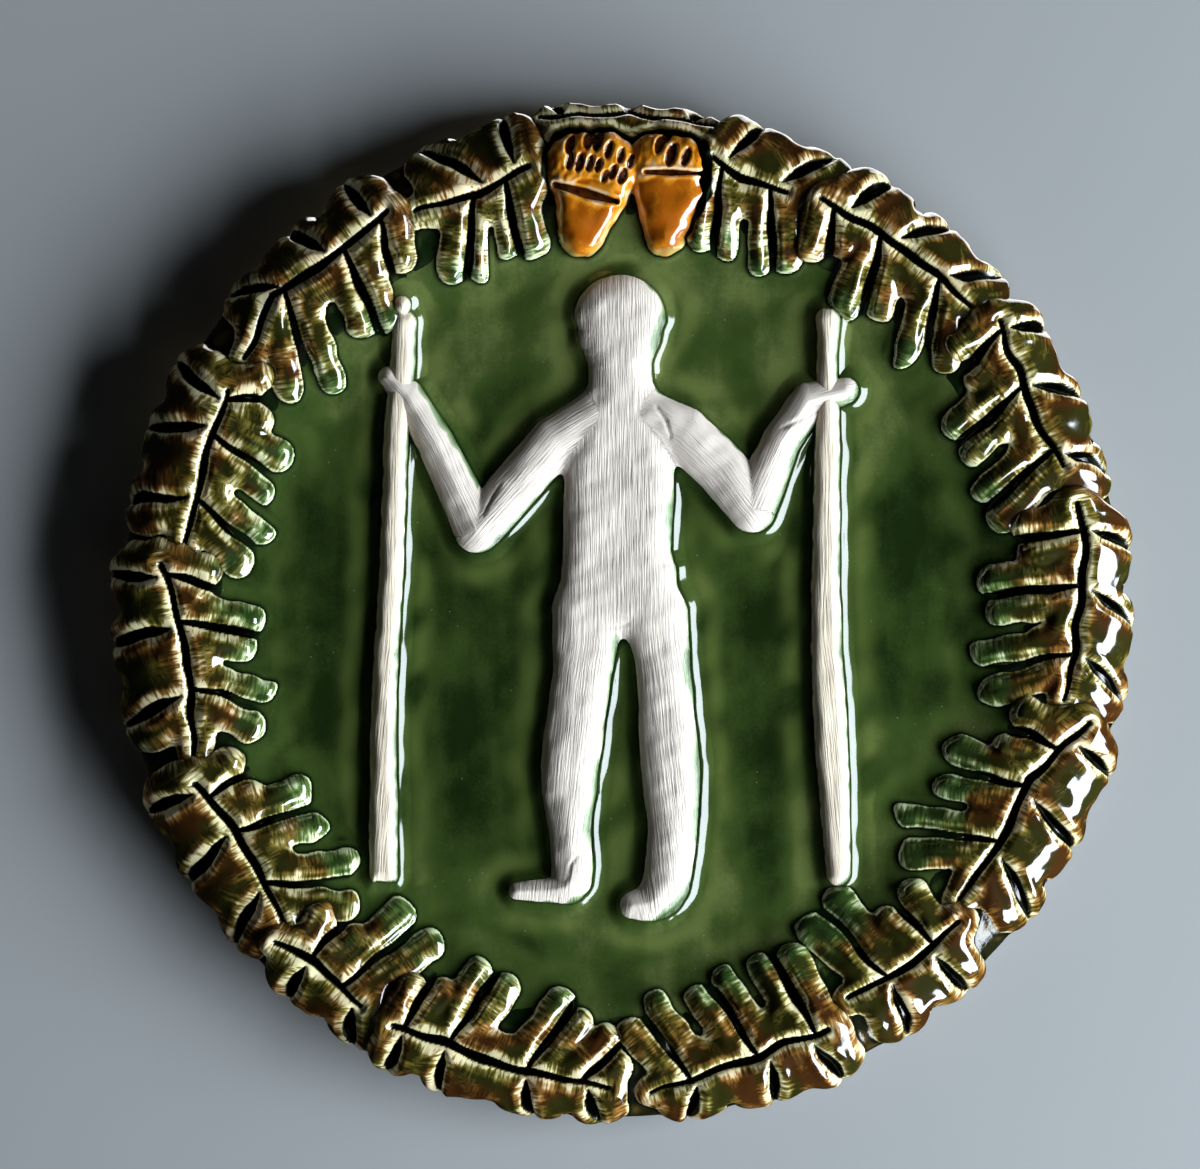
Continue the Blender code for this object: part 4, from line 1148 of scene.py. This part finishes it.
# %% One finish
class Finish:
    """A material with one Principled surface and the inputs that patterns read."""

    def __init__(self, name):
        self.material = bpy.data.materials.new(name)
        self.material.use_nodes = True
        self.tree = self.material.node_tree
        self.surface = self.tree.nodes["Principled BSDF"]
        self.any = Tone(self.tree, None)
        self.place = self.any.node("ShaderNodeTexCoord", None, 3)

    def facts(self):
        """The four numbers stored with the piece's vertices."""
        read = self.tree.nodes.new("ShaderNodeAttribute")
        read.attribute_name = "glaze"
        parts = self.tree.nodes.new("ShaderNodeSeparateColor")
        self.tree.links.new(read.outputs["Color"], parts.inputs[0])
        return [Tone(self.tree, s) for s in (*parts.outputs, read.outputs["Alpha"])]

    def scaled(self, place, *by):
        """A place with each of its three numbers multiplied."""
        return self.any.node("ShaderNodeVectorMath", {"operation": "MULTIPLY"}, i0=place, i1=by)

    def along(self, across, along):
        """The grain's place, scaled so that a noise on it makes streaks."""
        grain = self.any.node("ShaderNodeAttribute", {"attribute_name": "grain"}, 1)
        return self.scaled(grain, across, along, 1.0)

    def noise(self, scale, detail=2.0, rough=0.5, place=None):
        """Cloudy noise of about 0.5, read at the object's own place unless another is given."""
        where = place or self.place
        return self.any.node("ShaderNodeTexNoise", Vector=where, Scale=scale, Detail=detail, Roughness=rough)

    def bump(self, height, strength, distance, **under):
        """A fine unevenness of the surface, on top of another bump if Normal is given."""
        return self.any.node("ShaderNodeBump", Strength=strength, Distance=distance, Height=height, **under)

    def wire(self, **sockets):
        """Feed the surface, and hand over the material."""
        feed(self.surface, sockets)
        return self.material


# %% [markdown]
# ## Leaf glaze
# Brown and olive lead-type glazes over pale clay. Where the glaze is thin the clay shows as cream, a little
# thicker it is honey to rust, and thick it is olive and then nearly black. Fine streaks follow each finger,
# where the clay was stroked. The glaze is as smooth as glass, so its roughness is low. In the cuts and
# hollows it is a dark pool that is painted nearly black and given no reflection, as painted shade.

# %% Leaf glaze
GLAZE_IOR = 1.68                # lead glazes bend light nearly as much as crystal
FIELD_IOR = 1.52                # the plain green glaze does so no more than window glass


def leaf_glaze():
    f = Finish("leaf_glaze")
    thin, pool, green, rust = f.facts()
    streak = f.noise(1.0, 3.0, 0.6, f.along(0.25, 1.7)).step(0.3, 0.7)
    blotch = f.noise(260.0, 3.0, 0.6)
    speck = f.noise(1100.0, 2.0, 0.6)
    depth = thin * (0.55 + 0.85 * streak) + streak.sway(0.12) + blotch.sway(0.2) + speck.sway(0.1)
    depth = depth.held()
    red = (rust + blotch.sway(0.45) + streak.sway(0.35)).step(0.25, 0.8)
    thick = red.mix((0.020, 0.019, 0.0034), (0.040, 0.0145, 0.0034))
    middle = red.mix((0.170, 0.135, 0.022), (0.24, 0.110, 0.020))
    pale = red.mix((0.76, 0.69, 0.40), (0.76, 0.63, 0.38))
    thick = green.mix(thick, (0.020, 0.042, 0.009))
    middle = green.mix(middle, (0.110, 0.175, 0.045))
    pale = green.mix(pale, (0.66, 0.74, 0.44))
    colour = depth.step(0.08, 0.5).mix(thick, middle)
    colour = depth.step(0.42, 0.85).mix(colour, pale)
    # Pooled glaze and painted shade: the cuts and hollows go nearly black.
    colour = pool.step(0.2, 0.7).mix(colour, (0.0022, 0.0030, 0.0013))
    rough = 0.07 + 0.04 * streak + 0.25 * pool
    # Painted shade: a black metal in the cuts and hollows reflects nothing.
    painted_shade_no_reflection = pool.step(0.55, 0.95)
    bump = f.bump(f.noise(300.0, 1.0, 0.5), 0.25, 0.0002)
    return f.wire(Base_Color=colour, Roughness=rough, Metallic=painted_shade_no_reflection, Normal=bump, IOR=GLAZE_IOR)


# %% [markdown]
# ## Field glaze
# One thick green glaze. It is darkest at each foot, with pooled glaze and painted shade, paler in a band
# beside it, and mottled where the brush crossed itself. A few pale specks are dust and pinholes in the glaze.

# %% Green field
def field_glaze():
    f = Finish("field_glaze")
    light, foot, dark, halo = f.facts()
    mottle = f.noise(110.0, 4.0, 0.6)
    brushed = f.noise(260.0, 3.0, 0.55, f.scaled(f.place, 1.0, 1.0, 0.22))
    fine = f.noise(1500.0, 2.0, 0.5)
    level = (light + mottle.sway(0.62) + brushed.sway(0.34) + fine.sway(0.2) - dark * 0.24).held()
    colour = level.step(-0.05, 0.5).mix((0.0075, 0.0175, 0.0034), (0.034, 0.060, 0.012))
    colour = level.step(0.45, 1.0).mix(colour, (0.120, 0.150, 0.044))
    colour = (halo * 0.5).mix(colour, (0.110, 0.150, 0.034))
    # Pooled glaze and painted shade: nearly black at each foot.
    colour = foot.step(0.2, 0.9).mix(colour, (0.003, 0.008, 0.002))
    specks = f.any.node("ShaderNodeTexVoronoi", {"feature": "F1"}, Vector=f.place, Scale=420.0)
    keep = f.noise(110.0, 1.0, 0.5).step(0.52, 0.6)
    dust = (1.0 - specks.step(0.03, 0.09)) * keep
    colour = (dust * 0.35).mix(colour, (0.30, 0.36, 0.22))
    bump = f.bump(f.noise(200.0, 2.0, 0.5), 0.1, 0.0002)
    return f.wire(Base_Color=colour, Roughness=0.06 + 0.05 * mottle, Normal=bump, IOR=FIELD_IOR)


# %% [markdown]
# ## Slip, amber and clay
# The figure is brushed with a white slip that was left unglazed, so it is matt, with fine ridges along each
# stroke, and green glaze laps its foot. The acorns' amber glaze is clearer than the leaves'. The back is bare
# clay.

# %% White slip
def white_slip():
    f = Finish("white_slip")
    foot, staff, _, _ = f.facts()
    hair = f.noise(1.0, 3.0, 0.6, f.along(2.7, 0.13))
    stroke = f.noise(1.0, 2.0, 0.5, f.along(0.9, 0.06))
    cloud = f.noise(70.0, 3.0, 0.6)
    tone = (0.5 + hair.sway(0.3) + stroke.sway(0.15) + cloud.sway(0.5)).held()
    colour = tone.mix((0.655, 0.56, 0.485), (0.765, 0.69, 0.61))
    colour = staff.mix(colour, tone.mix((0.74, 0.62, 0.47), (0.85, 0.74, 0.58)))
    colour = (0.3 * hair.step(0.42, 0.30)).mix(colour, (0.38, 0.32, 0.28))
    wet = (foot + f.noise(300.0, 2.0, 0.5).sway(0.3)).held()
    colour = wet.step(0.1, 0.4).mix(colour, (0.24, 0.32, 0.17))
    colour = wet.step(0.4, 0.95).mix(colour, (0.035, 0.070, 0.018))
    bump = f.bump(stroke, 0.1, 0.0004, Normal=f.bump(hair, 1.0, 0.00028))
    return f.wire(Base_Color=colour, Roughness=0.9 - 0.78 * wet.step(0.1, 0.4), Normal=bump)


# %% Amber glaze
def amber_glaze():
    f = Finish("amber_glaze")
    thin, pool, green, cup = f.facts()
    blotch = f.noise(330.0, 4.0, 0.65)
    rubbed = f.noise(1.0, 2.0, 0.6, f.along(0.9, 0.35))
    depth = (thin + blotch.sway(0.9) + cup * (0.26 + rubbed.sway(1.8))).held()
    colour = depth.step(0.0, 0.42).mix((0.34, 0.085, 0.003), (0.66, 0.245, 0.012))
    colour = depth.step(0.42, 1.0).mix(colour, (0.80, 0.53, 0.28))
    colour = (green * 0.7).mix(colour, (0.34, 0.36, 0.12))
    pit = blotch.step(0.4, 0.6).mix((0.035, 0.008, 0.003), (0.11, 0.028, 0.004))
    colour = pool.step(0.3, 0.9).mix(colour, pit)
    bump = f.bump(f.noise(700.0, 2.0, 0.5), 0.25, 0.00015)
    return f.wire(Base_Color=colour, Roughness=0.10 + 0.06 * blotch, Normal=bump, IOR=GLAZE_IOR)


# %% The slab's glaze and bare clay
def slab_finish():
    f = Finish("slab_glaze")
    light, foot, green, bare = f.facts()
    mottle = f.noise(180.0, 3.0, 0.6)
    level = (light + mottle.sway(0.9)).held().step(0.2, 0.9)
    brown = level.mix((0.010, 0.010, 0.003), (0.085, 0.055, 0.014))
    colour = green.mix(brown, level.mix((0.005, 0.013, 0.003), (0.05, 0.08, 0.022)))
    # Pooled glaze and painted shade at the leaves' feet.
    colour = foot.step(0.2, 0.9).mix(colour, (0.003, 0.004, 0.002))
    edge = (bare + mottle.sway(0.35)).step(0.4, 0.6)
    colour = edge.mix(colour, mottle.mix((0.40, 0.31, 0.24), (0.55, 0.46, 0.38)))
    bump = f.bump(f.noise(900.0, 4.0, 0.6), 0.4, 0.00025)
    return f.wire(Base_Color=colour, Roughness=0.12 + 0.75 * edge, Normal=bump)


# %% Dress the pieces
LOOKS = {
    "leaf": (leaf_glaze(), "leaf_glaze"),
    "field": (field_glaze(), "field_glaze"),
    "slip": (white_slip(), "white_slip"),
    "acorn": (amber_glaze(), "amber_glaze"),
    "slab": (slab_finish(), "bare_clay"),
}
for name, piece in pieces.items():
    finish, slot = LOOKS.get(name.split("_")[0], LOOKS["slip"])
    piece.data.materials.append(finish)
print("finishes:", sorted(LOOKS))

# %% [markdown]
# ## Backdrop and light
# The photograph shows the plaque lying on a plain grey surface by a large window, low to the right and below.
# The surface is one-sided, like a stage flat: it catches the shadow from the front, and a camera behind the
# plaque sees the bare back. A weak light from the room lifts the shadows a little, and one behind the plaque
# lights its back.

# %% Backdrop
BOARD, BOARD_Y = 3.0, 0.0004    # metres from the board's middle to its edges, and from the wall plane to it


def backdrop():
    """A square of painted board that a camera behind it sees through."""
    mesh = bpy.data.meshes.new("backdrop")
    corners = [(x * BOARD, BOARD_Y, z * BOARD) for x, z in ((-1, -1), (1, -1), (1, 1), (-1, 1))]
    mesh.from_pydata(corners, [], [(0, 1, 2, 3)])
    plane = bpy.data.objects.new("backdrop", mesh)
    bpy.context.scene.collection.objects.link(plane)
    f = Finish("painted_board")
    f.tree.nodes.remove(f.surface)
    grey = f.noise(9.0, 3.0, 0.5).mix((0.36, 0.37, 0.372), (0.385, 0.395, 0.40))
    paint = f.any.node("ShaderNodeBsdfDiffuse", Color=grey, Roughness=0.5)
    clear = f.any.node("ShaderNodeBsdfTransparent")
    behind = f.any.node("ShaderNodeNewGeometry", None, 6)
    both = f.any.node("ShaderNodeMixShader", i0=behind, i1=paint, i2=clear)
    both.join(f.tree.nodes["Material Output"].inputs["Surface"])
    mesh.materials.append(f.material)
    plane.visible_shadow = False
    plane.visible_glossy = False


backdrop()


# %% Light
def window(name, place, size, power, colour=(1, 1, 1)):
    """A soft rectangular light at a place in metres, turned to face the plaque."""
    light = bpy.data.objects.new(name, bpy.data.lights.new(name, "AREA"))
    light.data.shape = "RECTANGLE"
    light.data.size, light.data.size_y = size
    light.data.energy, light.data.color = power, colour
    light.location = place
    light.rotation_mode = "QUATERNION"
    light.rotation_quaternion = (-Vector(place)).to_track_quat("-Z", "Y")
    bpy.context.scene.collection.objects.link(light)


window("window", (0.76, -0.35, -0.34), (0.44, 1.15), 31.5, (0.83, 0.92, 1.0))
window("room", (0.4, -1.4, -1.0), (1.2, 1.2), 0.35)
window("behind", (0.5, 1.3, 0.9), (1.2, 1.2), 14.0)
world = bpy.data.worlds.new("room")
world.use_nodes = True
sky = world.node_tree.nodes["Background"]
sky.inputs["Color"].default_value = (0.8, 0.9, 1.0, 1)
sky.inputs["Strength"].default_value = 0.006
bpy.context.scene.world = world
bpy.context.scene.view_settings.view_transform = "Standard"
